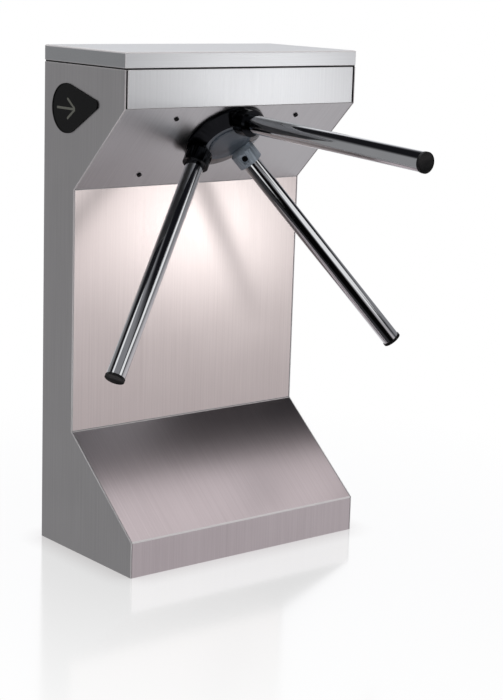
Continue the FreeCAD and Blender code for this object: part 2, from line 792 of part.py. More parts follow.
def lid():
    """The tray-shaped lid, its seal, its lock in the right side plate and its catch."""
    body = doc.addObject("PartDesign::Body", "lid_shell")
    half = "cabinet_width / 2"
    rim = "cabinet_height - lid_height"
    corners = [(f"-{half}", HEAD_FRONT), (half, HEAD_FRONT), (half, BACK), (f"-{half}", BACK)]
    pad = body.newObject("PartDesign::Pad", "lid_pad")
    pad.Profile = outline_sketch(body, "XY_Plane", corners)
    bind(pad, Length="lid_height")
    round_face(body, pad, Vector(0, 0, 1), "lid_round")
    at(body, 0, 0, rim)
    hollow = box(
        "lid_hollow",
        (f"-{half} + lid_sheet", f"{half} - lid_sheet"),
        (f"{HEAD_FRONT} + lid_sheet", f"{BACK} - lid_sheet"),
        (f"{rim} - cut_overrun", "cabinet_height - lid_sheet"),
    )
    keep("lid", cut("lid_tray", body, hollow))

    def ring(name, inset, z):
        return box(
            name,
            (f"-{half} + {inset}", f"{half} - ({inset})"),
            (f"{HEAD_FRONT} + {inset}", f"{BACK} - ({inset})"),
            z,
        )

    outer = ring("seal_outer", "seal_inset", (SHELL_TOP, f"{rim} - seal_clearance"))
    past = (f"{SHELL_TOP} - cut_overrun", f"{rim} + cut_overrun")
    inner = ring("seal_inner", "seal_inset + seal_width", past)
    keep("lid_seal", cut("seal", outer, inner))

    barrel, cam = cam_lock("lid_lock", "lid_lock_neck")
    for item in (barrel, cam):
        turned(item, (0, 1, 0), 90)
        at(item, half, LID_LOCK_Y, LID_LOCK_Z)
    # the cam stands up while the lid is free to open
    cam.Placement = cam.Placement.multiply(Placement(Vector(), Rotation(Vector(0, 0, 1), 180)))
    keep("lid_lock_barrel", barrel)
    keep("lid_lock_cam", cam)
    cam_inner = f"({half} - lid_lock_neck - knuckle_gap - lock_cam_sheet)"
    lip_top = f"{LID_LOCK_Z} - lock_plug_radius - lid_gap / 2"
    front = f"{LID_LOCK_Y} - lock_plug_radius * 2"
    along = (f"{front} - catch_width", front)
    strap = box(
        "catch_strap",
        (f"{cam_inner} - 2 * catch_sheet", f"{cam_inner} - catch_sheet"),
        along,
        (f"{lip_top} - catch_sheet", "cabinet_height - lid_sheet"),
    )
    lip = box(
        "catch_lip",
        (f"{cam_inner} - 2 * catch_sheet", f"{cam_inner} + lock_cam_sheet"),
        along,
        (f"{lip_top} - catch_sheet", lip_top),
    )
    keep("lid_catch", fuse("catch", strap, lip))


# Mechanism behind the slanted panel

SCREW_PLACES = [
    (f"{x} * (plate_width / 2 - screw_inset)", y)
    for y in (f"{PLATE_LOW} + screw_inset", f"{PLATE_TOP} - screw_inset")
    for x in (-1, 1)
]
BOLT_STEP = 360 / value("housing_bolt_count")
BOLT_PLACES = [
    (
        f"housing_bolt_circle * cos({index * BOLT_STEP} deg)",
        f"housing_bolt_circle * sin({index * BOLT_STEP} deg)",
    )
    for index in range(int(value("housing_bolt_count")))
]


def panel_screws():
    """Button-head screws that hold the panel to the mechanism plate."""
    screws = []
    for index, place in enumerate(SCREW_PLACES):
        head = rod(f"screw_head_{index}", "screw_head_radius", 0, "screw_head_height", *place)
        shank = rod(f"screw_shank_{index}", "screw_radius", PLATE_BACK, 0, *place)
        socket = hexagon(
            f"screw_socket_{index}",
            "screw_socket_radius",
            "screw_head_height / 3",
            "screw_head_height + cut_overrun",
            *place,
        )
        screws.append(cut(f"screw_{index}", fuse(f"screw_body_{index}", head, shank), socket))
    keep_seated("panel_screws", group("screws", *screws))


def mechanism_plate():
    slab = box(
        "plate_slab",
        ("-plate_width / 2", "plate_width / 2"),
        (PLATE_LOW, PLATE_TOP),
        (PLATE_BACK, "-front_sheet"),
    )
    through = (f"{PLATE_BACK} - cut_overrun", "-front_sheet + cut_overrun")
    holes = [rod("plate_bore", "plate_bore_radius", *through)]
    for index, place in enumerate(SCREW_PLACES):
        holes.append(rod(f"plate_screw_hole_{index}", "screw_radius", *through, *place))
    for index, place in enumerate(BOLT_PLACES):
        holes.append(rod(f"plate_bolt_hole_{index}", "housing_bolt_radius", *through, *place))
    keep_seated("mechanism_plate", cut("mechanism_slab", slab, *holes))


FRONT_BEARING = (f"{PLATE_BACK} - bearing_width", PLATE_BACK)
REAR_BEARING = (
    f"{PLATE_BACK} - 2 * bearing_width - bearing_gap",
    f"{PLATE_BACK} - bearing_width - bearing_gap",
)


def bearings():
    """The housing on the plate with its two bearings and its bolts."""
    tube = rod("housing_tube", "housing_radius", HOUSING_BACK, PLATE_BACK)
    flange = rod("housing_flange_disc", "housing_flange_radius", f"{PLATE_BACK} - housing_flange", PLATE_BACK)
    front = rod("front_bearing_bore", "bearing_radius", *FRONT_BEARING)
    rear = rod("rear_bearing_bore", "bearing_radius", HOUSING_BACK, REAR_BEARING[1])
    middle = rod("shoulder_bore", "hub_neck_radius", HOUSING_BACK, PLATE_BACK)
    through = (f"{PLATE_BACK} - housing_flange - cut_overrun", PLATE_BACK)
    holes = [
        rod(f"flange_bolt_hole_{index}", "housing_bolt_radius", *through, *place)
        for index, place in enumerate(BOLT_PLACES)
    ]
    body = fuse("housing_body", tube, flange)
    keep_seated("bearing_housing", cut("housing", body, front, rear, middle, *holes))
    bolts = []
    head_face = f"{PLATE_BACK} - housing_flange"
    shank_end = f"{PLATE_BACK} + plate_sheet / 2"
    for index, place in enumerate(BOLT_PLACES):
        head = hexagon(
            f"bolt_head_{index}", "bolt_head_radius", f"{head_face} - bolt_head_height", head_face, *place
        )
        shank = rod(f"bolt_shank_{index}", "housing_bolt_radius", head_face, shank_end, *place)
        bolts.append(fuse(f"bolt_{index}", head, shank))
    keep_seated("housing_bolts", group("bolts", *bolts))
    outer, inner = [], []
    for name, limits in (("front", FRONT_BEARING), ("rear", REAR_BEARING)):
        ring = rod(f"{name}_outer_ring", "bearing_radius", *limits)
        hole = rod(f"{name}_outer_hole", "bearing_split + bearing_running_gap", *limits)
        outer.append(cut(f"{name}_outer", ring, hole))
        ring = rod(f"{name}_inner_ring", "bearing_split", *limits)
        hole = rod(f"{name}_inner_hole", "shaft_radius", *limits)
        inner.append(cut(f"{name}_inner", ring, hole))
    keep_seated("bearing_outer_rings", group("outer_rings", *outer))
    keep_seated("bearing_inner_rings", group("inner_rings", *inner))


def shaft():
    """The main shaft, the bolt that holds the hub and the nut at the inner end."""
    bar = rod("shaft_bar", "shaft_radius", "-shaft_end", SHAFT_TIP)
    threaded = (f"{SHAFT_TIP} - hub_bolt_length", SHAFT_TIP)
    thread = rod("shaft_thread", "hub_bolt_radius", *threaded)
    keep_seated("main_shaft", cut("shaft_body", bar, thread))
    shank = rod("hub_bolt_shank", "hub_bolt_radius", *threaded)
    head_base = f"({SHAFT_TIP} + hub_washer_sheet)"
    washer = rod("hub_bolt_washer", "hub_washer_radius", SHAFT_TIP, head_base)
    head = hexagon("hub_bolt_head", "hub_bolt_head_radius", head_base, f"{head_base} + hub_bolt_head_height")
    keep_seated("hub_bolt", fuse("hub_bolt_body", shank, washer, head))
    nut = hexagon("nut_body", "nut_radius", f"{GEAR_BACK} - nut_height", GEAR_BACK)
    hole = rod("nut_hole", "shaft_radius", f"{GEAR_BACK} - nut_height", GEAR_BACK)
    keep_seated("shaft_nut", cut("nut", nut, hole))


# Tripod: hub and arms

ARMS = {"front": 0, "right": -120, "left": 120}


def arm_place(turn, along=0):
    """A place on an arm's axis, Z along the arm, at a distance from where the three axes meet."""
    lean = Rotation(Vector(1, 0, 0), -value("arm_angle"))
    around = Rotation(Vector(0, 0, 1), turn)
    apex = Placement(Vector(0, 0, -value("apex_depth")), around.multiply(lean))
    return apex.multiply(Placement(Vector(0, 0, along), Rotation()))


def along_arm(item, turn, along=0):
    """Put an object that was drawn along Z on an arm's axis."""
    return put(item, arm_place(turn, value(along)))


def hub():
    """The conical hub with three sockets, its cap and the arms' fixing screws."""
    bolt_room = "(hub_washer_radius + hub_clearance)"
    section = [
        ("shaft_radius", PLATE_BACK),
        ("bearing_split", PLATE_BACK),
        ("bearing_split", "-front_sheet"),
        ("hub_neck_radius", "-front_sheet"),
        ("hub_neck_radius", "hub_clearance"),
        ("hub_radius", "hub_clearance"),
        ("hub_radius", HUB_BASE),
        ("hub_face_radius", HUB_FACE),
        ("cap_radius", HUB_FACE),
        ("cap_radius", RECESS_FLOOR),
        (bolt_room, RECESS_FLOOR),
        (bolt_room, SHAFT_TIP),
        ("shaft_radius", SHAFT_TIP),
    ]
    cone = lathe("hub_cone", section)
    panel_side = rod("panel_side", "hub_radius + socket_radius", "-apex_depth", "hub_clearance")
    sockets, bores, screws, recesses = [], [], [], []
    half_depth = "(socket_radius - arm_radius)"
    for name, turn in ARMS.items():
        socket = lathe(
            f"{name}_socket",
            [
                (0, "socket_start"),
                ("socket_radius - socket_chamfer", "socket_start"),
                ("socket_radius", "socket_start + socket_chamfer"),
                ("socket_radius", "socket_end"),
                (0, "socket_end"),
            ],
        )
        sockets.append(cut(f"{name}_socket_trim", along_arm(socket, turn), panel_side))
        bore = rod(f"{name}_socket_bore", "arm_radius", 0, "socket_end - arm_start + cut_overrun")
        bores.append(along_arm(bore, turn, "arm_start"))
        # the screw stands square to the arm, on the side that faces away from the cabinet
        stand = arm_place(turn, value("set_screw_place")).multiply(
            Placement(Vector(), Rotation(Vector(1, 0, 0), 90))
        )
        hole = rod(f"{name}_screw_hole", "set_screw_radius", 0, "socket_radius + set_screw_recess")
        recess = rod(f"{name}_screw_recess", "set_screw_recess_radius", 0, "2 * set_screw_recess")
        grub = rod(f"{name}_grub_body", "set_screw_radius", 0, f"{half_depth} - set_screw_recess / 2")
        key = hexagon(f"{name}_grub_key", "set_screw_radius / 2", "set_screw_recess / 3", "socket_radius")
        grub_screw = cut(f"{name}_grub", grub, key)
        put(hole, stand)
        recess_floor_height = Vector(0, 0, value("socket_radius - set_screw_recess / 2"))
        put(recess, stand.multiply(Placement(recess_floor_height, Rotation())))
        put(grub_screw, stand.multiply(Placement(Vector(0, 0, value("arm_radius")), Rotation())))
        recesses += [hole, recess]
        screws.append(grub_screw)
    blank = fuse("hub_blank", cone, *sockets)
    keep_seated("hub", cut("hub_body", blank, *bores, *recesses))
    keep_seated("arm_set_screws", group("grub_screws", *screws))
    cap_top = f"({RECESS_FLOOR} + cap_height)"
    cap = lathe(
        "cap_disc",
        [
            (0, RECESS_FLOOR),
            ("cap_radius", RECESS_FLOOR),
            ("cap_radius", f"{cap_top} - cap_chamfer"),
            ("cap_radius - 2 * cap_chamfer", cap_top),
            (0, cap_top),
        ],
    )
    keep_seated("hub_cap", cap)


def arms():
    """Three tubes, each closed by a plastic cap."""
    tube_end = "(arm_reach - end_cap_sheet)"
    for name, turn in ARMS.items():
        outer = rod(f"{name}_tube", "arm_radius", 0, f"{tube_end} - arm_start")
        inner = rod(f"{name}_tube_bore", "arm_radius - arm_wall", 0, f"{tube_end} - arm_start")
        keep_seated(f"{name}_arm", along_arm(cut(f"{name}_arm_tube", outer, inner), turn, "arm_start"))
        disc = rod(f"{name}_cap_disc", "end_cap_radius", 0, "end_cap_sheet")
        plug = rod(f"{name}_cap_plug", "arm_radius - arm_wall", "-end_cap_plug", 0)
        keep_seated(f"{name}_end_cap", along_arm(fuse(f"{name}_cap", disc, plug), turn, tube_end))


# Locking: a notched disc, two pawls and their solenoids

NOTCH_STEP = 360 / value("notch_count")
PAWL_NOTCH = 300
PAWL_TURN = Rotation(Vector(0, 0, 1), PAWL_NOTCH)


def lock_disc():
    disc = rod("disc_body", "disc_radius", DISC_BACK, "-disc_start")
    boss = rod("disc_boss", "boss_radius", "-disc_start", REAR_BEARING[0])
    tools = [rod("disc_hole", "shaft_radius", DISC_BACK, REAR_BEARING[0])]
    for index in range(int(value("notch_count"))):
        notch = box(
            f"notch_{index}",
            ("disc_radius - notch_depth", "disc_radius + notch_depth"),
            ("-notch_width / 2", "notch_width / 2"),
            (f"{DISC_BACK} - cut_overrun", "-disc_start + cut_overrun"),
        )
        turn = Rotation(Vector(0, 0, 1), NOTCH_STEP * index)
        tools.append(group(f"notch_place_{index}", notch))
        tools[-1].Placement = Placement(Vector(), turn)
    keep_seated("lock_disc", cut("disc", fuse("disc_blank", disc, boss), *tools))


def pawl_place():
    """The right pawl's pivot: X runs outwards through the notch, Y along the disc's rim."""
    rim = Placement(Vector(), PAWL_TURN)
    return rim.multiply(Placement(Vector(value("disc_radius"), value("pawl_reach"), 0), Rotation()))


def right_pivot():
    return pawl_place().Base


def pawls():
    """A bell-crank pawl on each side; it rests clear of the disc and swings in to lock."""
    thickness = (DISC_BACK, "-disc_start")
    tip = "pawl_rest_gap"
    root = "(pawl_rest_gap + pawl_nose_length)"
    near, far = "(-pawl_reach + pawl_nose_width / 2)", "(-pawl_reach - pawl_nose_width / 2)"
    outline = [
        ("-pawl_waist", 0),
        (root, f"{near} + pawl_arm_width"),
        (root, near),
        (tip, near),
        (tip, far),
        (f"{root} + pawl_arm_width", far),
        (f"{root} + pawl_arm_width", f"{near} + pawl_arm_width"),
        ("pawl_waist", 0),
    ]
    arm = plate("pawl_arm", outline, *thickness)
    put(arm, pawl_place().multiply(Placement(Vector(0, 0, value(DISC_BACK)), Rotation())))
    pivot = right_pivot()
    boss = rod("pawl_boss", "pawl_boss_radius", *thickness, pivot.x, pivot.y)
    tail = box(
        "pawl_tail_bar",
        (f"{pivot.x} - pawl_tail_width / 2", f"{pivot.x} + pawl_tail_width / 2"),
        (f"{pivot.y} - pawl_tail - pawl_tail_width / 2", pivot.y),
        thickness,
    )
    pivot_hole = rod("pawl_pivot_hole", "pivot_radius + running_clearance", *thickness, pivot.x, pivot.y)
    link_hole = rod("pawl_link_hole", "pawl_slot_radius", *thickness, pivot.x, f"{pivot.y} - pawl_tail")
    blank = fuse("pawl_blank", arm, boss, tail)
    right = keep_seated("right_pawl", cut("pawl_body", blank, pivot_hole, link_hole))
    keep("left_pawl", mirrored("left_pawl_body", right))

    post = rod("pivot_post", "pivot_radius", f"{DISC_BACK} - knuckle_gap", PLATE_BACK, pivot.x, pivot.y)
    shoulder = rod(
        "pivot_shoulder", "pawl_boss_radius", "-disc_start + knuckle_gap", PLATE_BACK, pivot.x, pivot.y
    )
    clip = rod(
        "pivot_clip",
        "pawl_boss_radius",
        f"{DISC_BACK} - knuckle_gap - pivot_clip_height",
        f"{DISC_BACK} - knuckle_gap",
        pivot.x,
        pivot.y,
    )
    right_post = fuse("right_pivot_post", post, shoulder, clip)
    keep_seated("pawl_pivots", group("pivots", right_post, mirrored("left_pivot_post", right_post)))


def solenoids():
    """A solenoid on each side, whose plunger pulls the pawl's tail."""
    pivot = right_pivot()
    level = f"({pivot.y} - pawl_tail)"
    end = "(solenoid_start + solenoid_length)"
    low, high = f"{PLUNGER_LEVEL} - solenoid_height / 2", f"{PLUNGER_LEVEL} + solenoid_height / 2"
    coil = box(
        "coil_body",
        ("solenoid_start", end),
        (f"{level} - solenoid_width / 2", f"{level} + solenoid_width / 2"),
        (low, high),
    )
    foot = box(
        "solenoid_foot",
        ("solenoid_start", end),
        (f"{level} - solenoid_foot_width / 2", f"{level} + solenoid_foot_width / 2"),
        (high, PLATE_BACK),
    )
    bore = rod("solenoid_bore", "plunger_radius + running_clearance", 0, "solenoid_length")
    turned(bore, (0, 1, 0), 90)
    at(bore, "solenoid_start + solenoid_wall", level, PLUNGER_LEVEL)
    right = cut("right_solenoid", fuse("solenoid_body", coil, foot), bore)
    keep_seated("solenoids", group("solenoid_pair", right, mirrored("left_solenoid", right)))

    fork_root = f"({pivot.x} - pawl_tail_width / 2 - fork_sheet - fork_room)"
    bar = rod("plunger_bar", "plunger_radius", 0, "plunger_length")
    turned(bar, (0, 1, 0), 90)
    at(bar, f"{fork_root} - plunger_length", level, PLUNGER_LEVEL)
    half = "(disc_sheet / 2 + fork_gap + fork_sheet)"
    across = (f"{level} - fork_width / 2", f"{level} + fork_width / 2")
    bridge = box(
        "fork_bridge",
        (fork_root, f"{fork_root} + fork_sheet"),
        across,
        (f"{PLUNGER_LEVEL} - {half}", f"{PLUNGER_LEVEL} + {half}"),
    )
    reach = (fork_root, f"{pivot.x} + fork_width / 2")
    inner = "(disc_sheet / 2 + fork_gap)"
    upper = box("fork_upper", reach, across, (f"{PLUNGER_LEVEL} + {inner}", f"{PLUNGER_LEVEL} + {half}"))
    lower = box("fork_lower", reach, across, (f"{PLUNGER_LEVEL} - {half}", f"{PLUNGER_LEVEL} - {inner}"))
    fork_low, fork_high = f"{PLUNGER_LEVEL} - {half}", f"{PLUNGER_LEVEL} + {half}"
    pin = rod("link_pin", "link_pin_radius", fork_low, fork_high, pivot.x, level)
    plunger = keep_seated("right_plunger", fuse("plunger_body", bar, bridge, upper, lower, pin))
    keep("left_plunger", mirrored("left_plunger_body", plunger))


# Centring and damping: a gear on the shaft with two pinions

PRESSURE_ANGLE = math.radians(20)
FLANK_STEPS = 4
ADDENDUM = 0.95
DEDENDUM = 1.25


def gear_outline(teeth, phase):
    """A spur gear's outline with involute flanks, one tooth pointing along a phase angle in degrees."""
    module, backlash = value("gear_module"), value("gear_backlash")
    pitch = module * teeth / 2
    base = pitch * math.cos(PRESSURE_ANGLE)
    tip, root = pitch + ADDENDUM * module, pitch - DEDENDUM * module
    half = (math.pi * module / 2 - backlash / 2) / (2 * pitch)
    at_pitch = math.tan(PRESSURE_ANGLE) - PRESSURE_ANGLE

    def half_angle(radius):
        lean = math.acos(min(1, base / radius))
        return half + at_pitch - (math.tan(lean) - lean)

    start = max(base, root)
    radii = [start + (tip - start) * step / FLANK_STEPS for step in range(FLANK_STEPS + 1)]
    flank = [(root, half_angle(start))] if root < start else []
    flank += [(radius, half_angle(radius)) for radius in radii]
    points = []
    for tooth in range(teeth):
        middle = math.radians(phase) + 2 * math.pi * tooth / teeth
        for radius, angle in flank:
            points.append(Vector(radius * math.cos(middle - angle), radius * math.sin(middle - angle), 0))
        for radius, angle in reversed(flank):
            points.append(Vector(radius * math.cos(middle + angle), radius * math.sin(middle + angle), 0))
    return Part.makePolygon(points + points[:1])


def spur_gear(name, teeth, phase, x, y):
    """A toothed blank; its outline comes from a formula, so its shape is set here."""
    item = doc.addObject("Part::Feature", name)
    width = value("gear_sheet")
    item.Shape = Part.Face(gear_outline(int(value(teeth)), phase)).extrude(Vector(0, 0, width))
    item.Placement = Placement(Vector(x, y, value(GEAR_BACK)), Rotation())
    return item


def pinion_phase(bearing):
    """The turn that puts a gap of the pinion opposite the gear's tooth, at a bearing round the gear."""
    ratio = value("gear_teeth") / value("pinion_teeth")
    return bearing + 180 + 180 / value("pinion_teeth") + bearing * ratio


def main_gear():
    teeth = spur_gear("gear_rim", "gear_teeth", 0, 0, 0)
    boss = rod("gear_boss", "boss_radius", "-gear_start", DISC_BACK)
    hole = rod("gear_hole", "shaft_radius", GEAR_BACK, DISC_BACK)
    keep_seated("main_gear", cut("gear", fuse("gear_blank", teeth, boss), hole))


def centring():
    """A pinion with a crank pin that turns three times per turn of the tripod, and its spring."""
    x = GEAR_DISTANCE
    teeth = spur_gear("centring_teeth", "pinion_teeth", pinion_phase(0), value(x), 0)
    crank = rod("crank_disc", "gear_module * (pinion_teeth + 2) / 2", CRANK_BACK, GEAR_BACK, x)
    pin = rod("crank_pin", "crank_pin_radius", CRANK_TIP, CRANK_BACK, x, "-crank_radius")
    bore = rod("centring_bore", "stub_radius + running_clearance", CRANK_BACK, "-gear_start", x)
    keep_seated("centring_pinion", cut("pinion", fuse("pinion_blank", teeth, crank, pin), bore))

    shoulder = rod("stub_shoulder", "stub_shoulder_radius", "-gear_start + knuckle_gap", PLATE_BACK, x)
    axle = rod("stub_axle", "stub_radius", f"{CRANK_BACK} - knuckle_gap", "-gear_start + knuckle_gap", x)
    clip = rod(
        "stub_clip",
        "stub_clip_radius",
        f"{CRANK_BACK} - knuckle_gap - pivot_clip_height",
        f"{CRANK_BACK} - knuckle_gap",
        x,
    )
    keep_seated("centring_stub", fuse("stub", shoulder, axle, clip))

    drop_y = "(-spring_post_drop)"
    post = rod("post_bar", "crank_pin_radius", CRANK_TIP, PLATE_BACK, x, drop_y)
    foot = rod("post_foot", "2 * crank_pin_radius", f"{PLATE_BACK} - crank_pin_length", PLATE_BACK, x, drop_y)
    keep_seated("spring_post", fuse("post", post, foot))

    level = f"({CRANK_BACK} - crank_pin_length / 2)"
    hook_low, hook_high = f"{level} - spring_hook_sheet / 2", f"{level} + spring_hook_sheet / 2"
    top, bottom = "(-crank_radius - spring_hook_space)", "(-spring_post_drop + spring_hook_space)"
    coil = rod("spring_coil", "spring_radius", 0, f"{top} - {bottom}")
    hollow = rod("spring_hollow", "spring_radius - spring_wall", 0, f"{top} - {bottom}")
    tube = cut("spring_tube", coil, hollow)
    turned(tube, (1, 0, 0), -90)
    at(tube, x, bottom, level)
    solids = [tube]
    hook_edge = "(spring_hook_radius - spring_hook_root)"
    for name, y, near, far in (
        ("upper", "-crank_radius", f"{top} - spring_hook_root", f"-crank_radius - {hook_edge}"),
        ("lower", drop_y, f"{drop_y} + {hook_edge}", f"{bottom} + spring_hook_root"),
    ):
        eye = rod(f"{name}_eye", "spring_hook_radius", hook_low, hook_high, x, y)
        eye_hole = rod(f"{name}_eye_hole", "crank_pin_radius", hook_low, hook_high, x, y)
        solids.append(cut(f"{name}_hook", eye, eye_hole))
        reach = (f"{x} - spring_radius", f"{x} + spring_radius")
        solids.append(box(f"{name}_shank", reach, (near, far), (hook_low, hook_high)))
    keep_seated("centring_spring", fuse("spring", *solids))


def damper():
    """A sealed rotary damper with its own pinion."""
    bearing = value("damper_bearing_angle")
    distance = value(GEAR_DISTANCE)
    x = distance * math.cos(math.radians(bearing))
    y = distance * math.sin(math.radians(bearing))
    can = rod("damper_can", "damper_radius", "-damper_end", PLATE_BACK, x, y)
    flange_face = f"{PLATE_BACK} - damper_flange"
    flange = rod("damper_flange_disc", "damper_flange_radius", flange_face, PLATE_BACK, x, y)
    floor = "(-damper_end + damper_shaft_depth)"
    bore = rod("damper_bore", "damper_shaft_radius + running_clearance", "-damper_end", floor, x, y)
    keep_seated("damper_body", cut("damper_case", fuse("damper_case_body", can, flange), bore))
    teeth = spur_gear("damper_teeth", "pinion_teeth", pinion_phase(bearing), x, y)
    spindle = rod("damper_spindle", "damper_shaft_radius", "-gear_start", f"{floor} - damper_end_gap", x, y)
    keep_seated("damper_pinion", fuse("damper_gear", teeth, spindle))


# Electrics


def electrics():
    sensor = box(
        "sensor_block",
        ("-sensor_width / 2", "sensor_width / 2"),
        ("sensor_offset", "sensor_offset + sensor_thickness"),
        (DISC_BACK, PLATE_BACK),
    )
    nose = box(
        "sensor_nose",
        ("-sensor_width / 4", "sensor_width / 4"),
        ("sensor_offset - sensor_thickness / 2", "sensor_offset"),
        (DISC_BACK, "-disc_start"),
    )
    keep_seated("position_sensor", fuse("sensor", sensor, nose))
    inside = f"({BACK} - back_sheet)"
    top = f"({SHELL_TOP} - control_drop)"
    bottom = f"({SHELL_TOP} - control_drop - control_height)"
    board = box(
        "control_sheet",
        ("-control_width / 2", "control_width / 2"),
        (f"{inside} - standoff_length - board_sheet", f"{inside} - standoff_length"),
        (bottom, top),
    )
    solids = [board]
    for x in (-1, 1):
        for z in (f"{bottom} + standoff_inset", f"{top} - standoff_inset"):
            leg = rod(f"standoff_{len(solids)}", "standoff_radius", 0, "standoff_length")
            turned(leg, (1, 0, 0), 90)
            solids.append(at(leg, f"{x} * (control_width / 2 - standoff_inset)", inside, z))
    keep("control_board", fuse("control", *solids))
    supply_bottom = "(door_bottom + door_height + supply_gap)"
    supply = box(
        "supply_case",
        ("-supply_width / 2", "supply_width / 2"),
        (f"{inside} - supply_depth", inside),
        (supply_bottom, f"{supply_bottom} + supply_height"),
    )
    keep("power_supply", supply)


def build():
    base_plate()
    for side in SIDES:
        side_plate(side)
    back_panel()
    rear_door()
    front_sheets()
    lid()
    hinges()
    boards = [indicator(side) for side in SIDES]
    keep("indicator_boards", group("boards", *boards))
    panel_screws()
    mechanism_plate()
    bearings()
    shaft()
    hub()
    arms()
    lock_disc()
    pawls()
    solenoids()
    main_gear()
    centring()
    damper()
    electrics()


def write():
    """Stop on a failed object or shape, then write one file for each sub-part."""
    doc.recompute()
    for item in doc.Objects:
        if "Invalid" in item.State or "Error" in item.State:
            raise RuntimeError(f"{item.Name} failed: {item.State}")
    for item in pieces:
        if item.Shape.isNull() or not item.Shape.isValid():
            raise RuntimeError(f"{item.Label} has no valid shape")
    os.makedirs("parts", exist_ok=True)
    for item in pieces:
        item.Shape.exportStep(f"parts/{item.Label}.step")
        print(f"{item.Label}: {len(item.Shape.Solids)} solids, {item.Shape.Volume / 1000:.1f} cm3")


build()
write()
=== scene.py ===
"""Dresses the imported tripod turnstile: finishes, eased edges, small fittings, the studio and the camera."""
import json
import math
import bmesh
import bpy
from mathutils import Matrix, Vector

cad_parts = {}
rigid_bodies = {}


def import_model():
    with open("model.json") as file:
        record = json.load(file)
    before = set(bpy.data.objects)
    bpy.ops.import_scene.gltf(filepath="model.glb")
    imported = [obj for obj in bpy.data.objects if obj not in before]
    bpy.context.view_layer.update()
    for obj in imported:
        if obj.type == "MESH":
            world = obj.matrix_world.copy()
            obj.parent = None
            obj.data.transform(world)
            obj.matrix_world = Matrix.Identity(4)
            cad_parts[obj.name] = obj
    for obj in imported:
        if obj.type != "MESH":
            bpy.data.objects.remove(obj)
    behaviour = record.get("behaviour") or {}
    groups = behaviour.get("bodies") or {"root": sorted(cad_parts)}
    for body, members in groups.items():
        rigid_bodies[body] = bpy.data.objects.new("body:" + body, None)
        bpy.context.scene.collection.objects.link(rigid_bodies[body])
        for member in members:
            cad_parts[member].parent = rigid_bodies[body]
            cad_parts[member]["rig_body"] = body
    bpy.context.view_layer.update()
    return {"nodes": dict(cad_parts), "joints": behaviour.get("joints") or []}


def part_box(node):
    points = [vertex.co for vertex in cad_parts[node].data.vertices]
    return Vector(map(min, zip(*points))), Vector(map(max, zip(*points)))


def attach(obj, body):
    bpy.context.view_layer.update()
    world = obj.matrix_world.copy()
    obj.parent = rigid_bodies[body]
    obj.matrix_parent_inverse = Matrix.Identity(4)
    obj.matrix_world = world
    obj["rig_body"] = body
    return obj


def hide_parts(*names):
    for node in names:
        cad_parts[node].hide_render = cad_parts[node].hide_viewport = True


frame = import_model()
NODES = frame["nodes"]
JOINTS = {joint["name"]: joint for joint in frame["joints"]}
MM = 0.001

# The rotor: three arms lean out from its axis, at even turns about it.
HUB_PLACE = Vector(JOINTS["tripod_turn"]["pos_m"])
HUB_AXIS = Vector(JOINTS["tripod_turn"]["axis"])
HUB_UP = Vector((1, 0, 0)).cross(HUB_AXIS) * -1
APEX_DEPTH = 50 * MM
ARM_LEAN = math.radians(42)
ARM_RADIUS = 18 * MM
ARM_WALL = 1.5 * MM
ARM_START = 92 * MM
ARM_END = 587 * MM
ARM_BORE = 30 * MM
ARM_RIM = 0.4 * MM
ARM_TURNS = {"front": 0, "right": -120, "left": 120}
SOCKET_RADIUS = 25.5 * MM
SOCKET_START = 80 * MM
SOCKET_MARGIN = 0.2 * MM
HUB_FLAT_HEIGHT = 14 * MM
HUB_EASE = 1.2 * MM
# The mechanism's own frame: Y runs up the slanted panel and Z out of it, along the rotor's axis.
MECHANISM = (Matrix.Translation(HUB_PLACE)
             @ Matrix((Vector((1, 0, 0)), HUB_UP, HUB_AXIS)).transposed().to_4x4())


# Materials

def linear(hex_colour):
    """A written sRGB colour, such as "#c0c0c0", as linear red, green, blue and alpha."""
    shares = [int(hex_colour[i:i + 2], 16) / 255 for i in (1, 3, 5)]
    return [c / 12.92 if c <= 0.04045 else ((c + 0.055) / 1.055) ** 2.4 for c in shares] + [1.0]


def add_node(tree, kind, settings, links):
    """Adds a node, sets its options and input values, and links sockets to its inputs.
    Inputs go by name, or by number on nodes that repeat a name. On a Mix node the share is 0, two numbers
    are 2 and 3 with output 0, and two colours are 6 and 7 with output 2."""
    node = tree.nodes.new(kind)
    for name, value in settings.items():
        if isinstance(name, int) or name in node.inputs:
            node.inputs[name].default_value = value
        else:
            setattr(node, name, value)
    for name, socket in links.items():
        tree.links.new(socket, node.inputs[name])
    return node


def start_material(name, **values):
    """A new material with the values that are the same all over it, its shader and its coordinates."""
    material = bpy.data.materials.new(name)
    material.use_nodes = True
    tree = material.node_tree
    shader = tree.nodes["Principled BSDF"]
    for socket, value in values.items():
        shader.inputs[socket.replace("_", " ")].default_value = value
    place = add_node(tree, "ShaderNodeTexCoord", {}, {}).outputs["Object"]
    return material, tree, shader, place


BUMP_DEPTH = 0.1 * MM


def vary(tree, shader, pattern, dull, bright, roughness, bump=0.0):
    """Lets a pattern move the shader's colour between two hex values, its roughness, and its bump if any."""
    colour = add_node(tree, "ShaderNodeMix", {"data_type": "RGBA", 6: linear(dull), 7: linear(bright)},
                      {0: pattern})
    tree.links.new(colour.outputs[2], shader.inputs["Base Color"])
    rough = add_node(tree, "ShaderNodeMapRange", {"To Min": roughness[0], "To Max": roughness[1]},
                     {"Value": pattern})
    tree.links.new(rough.outputs["Result"], shader.inputs["Roughness"])
    if bump:
        relief = add_node(tree, "ShaderNodeBump", {"Strength": bump, "Distance": BUMP_DEPTH},
                          {"Height": pattern})
        tree.links.new(relief.outputs["Normal"], shader.inputs["Normal"])


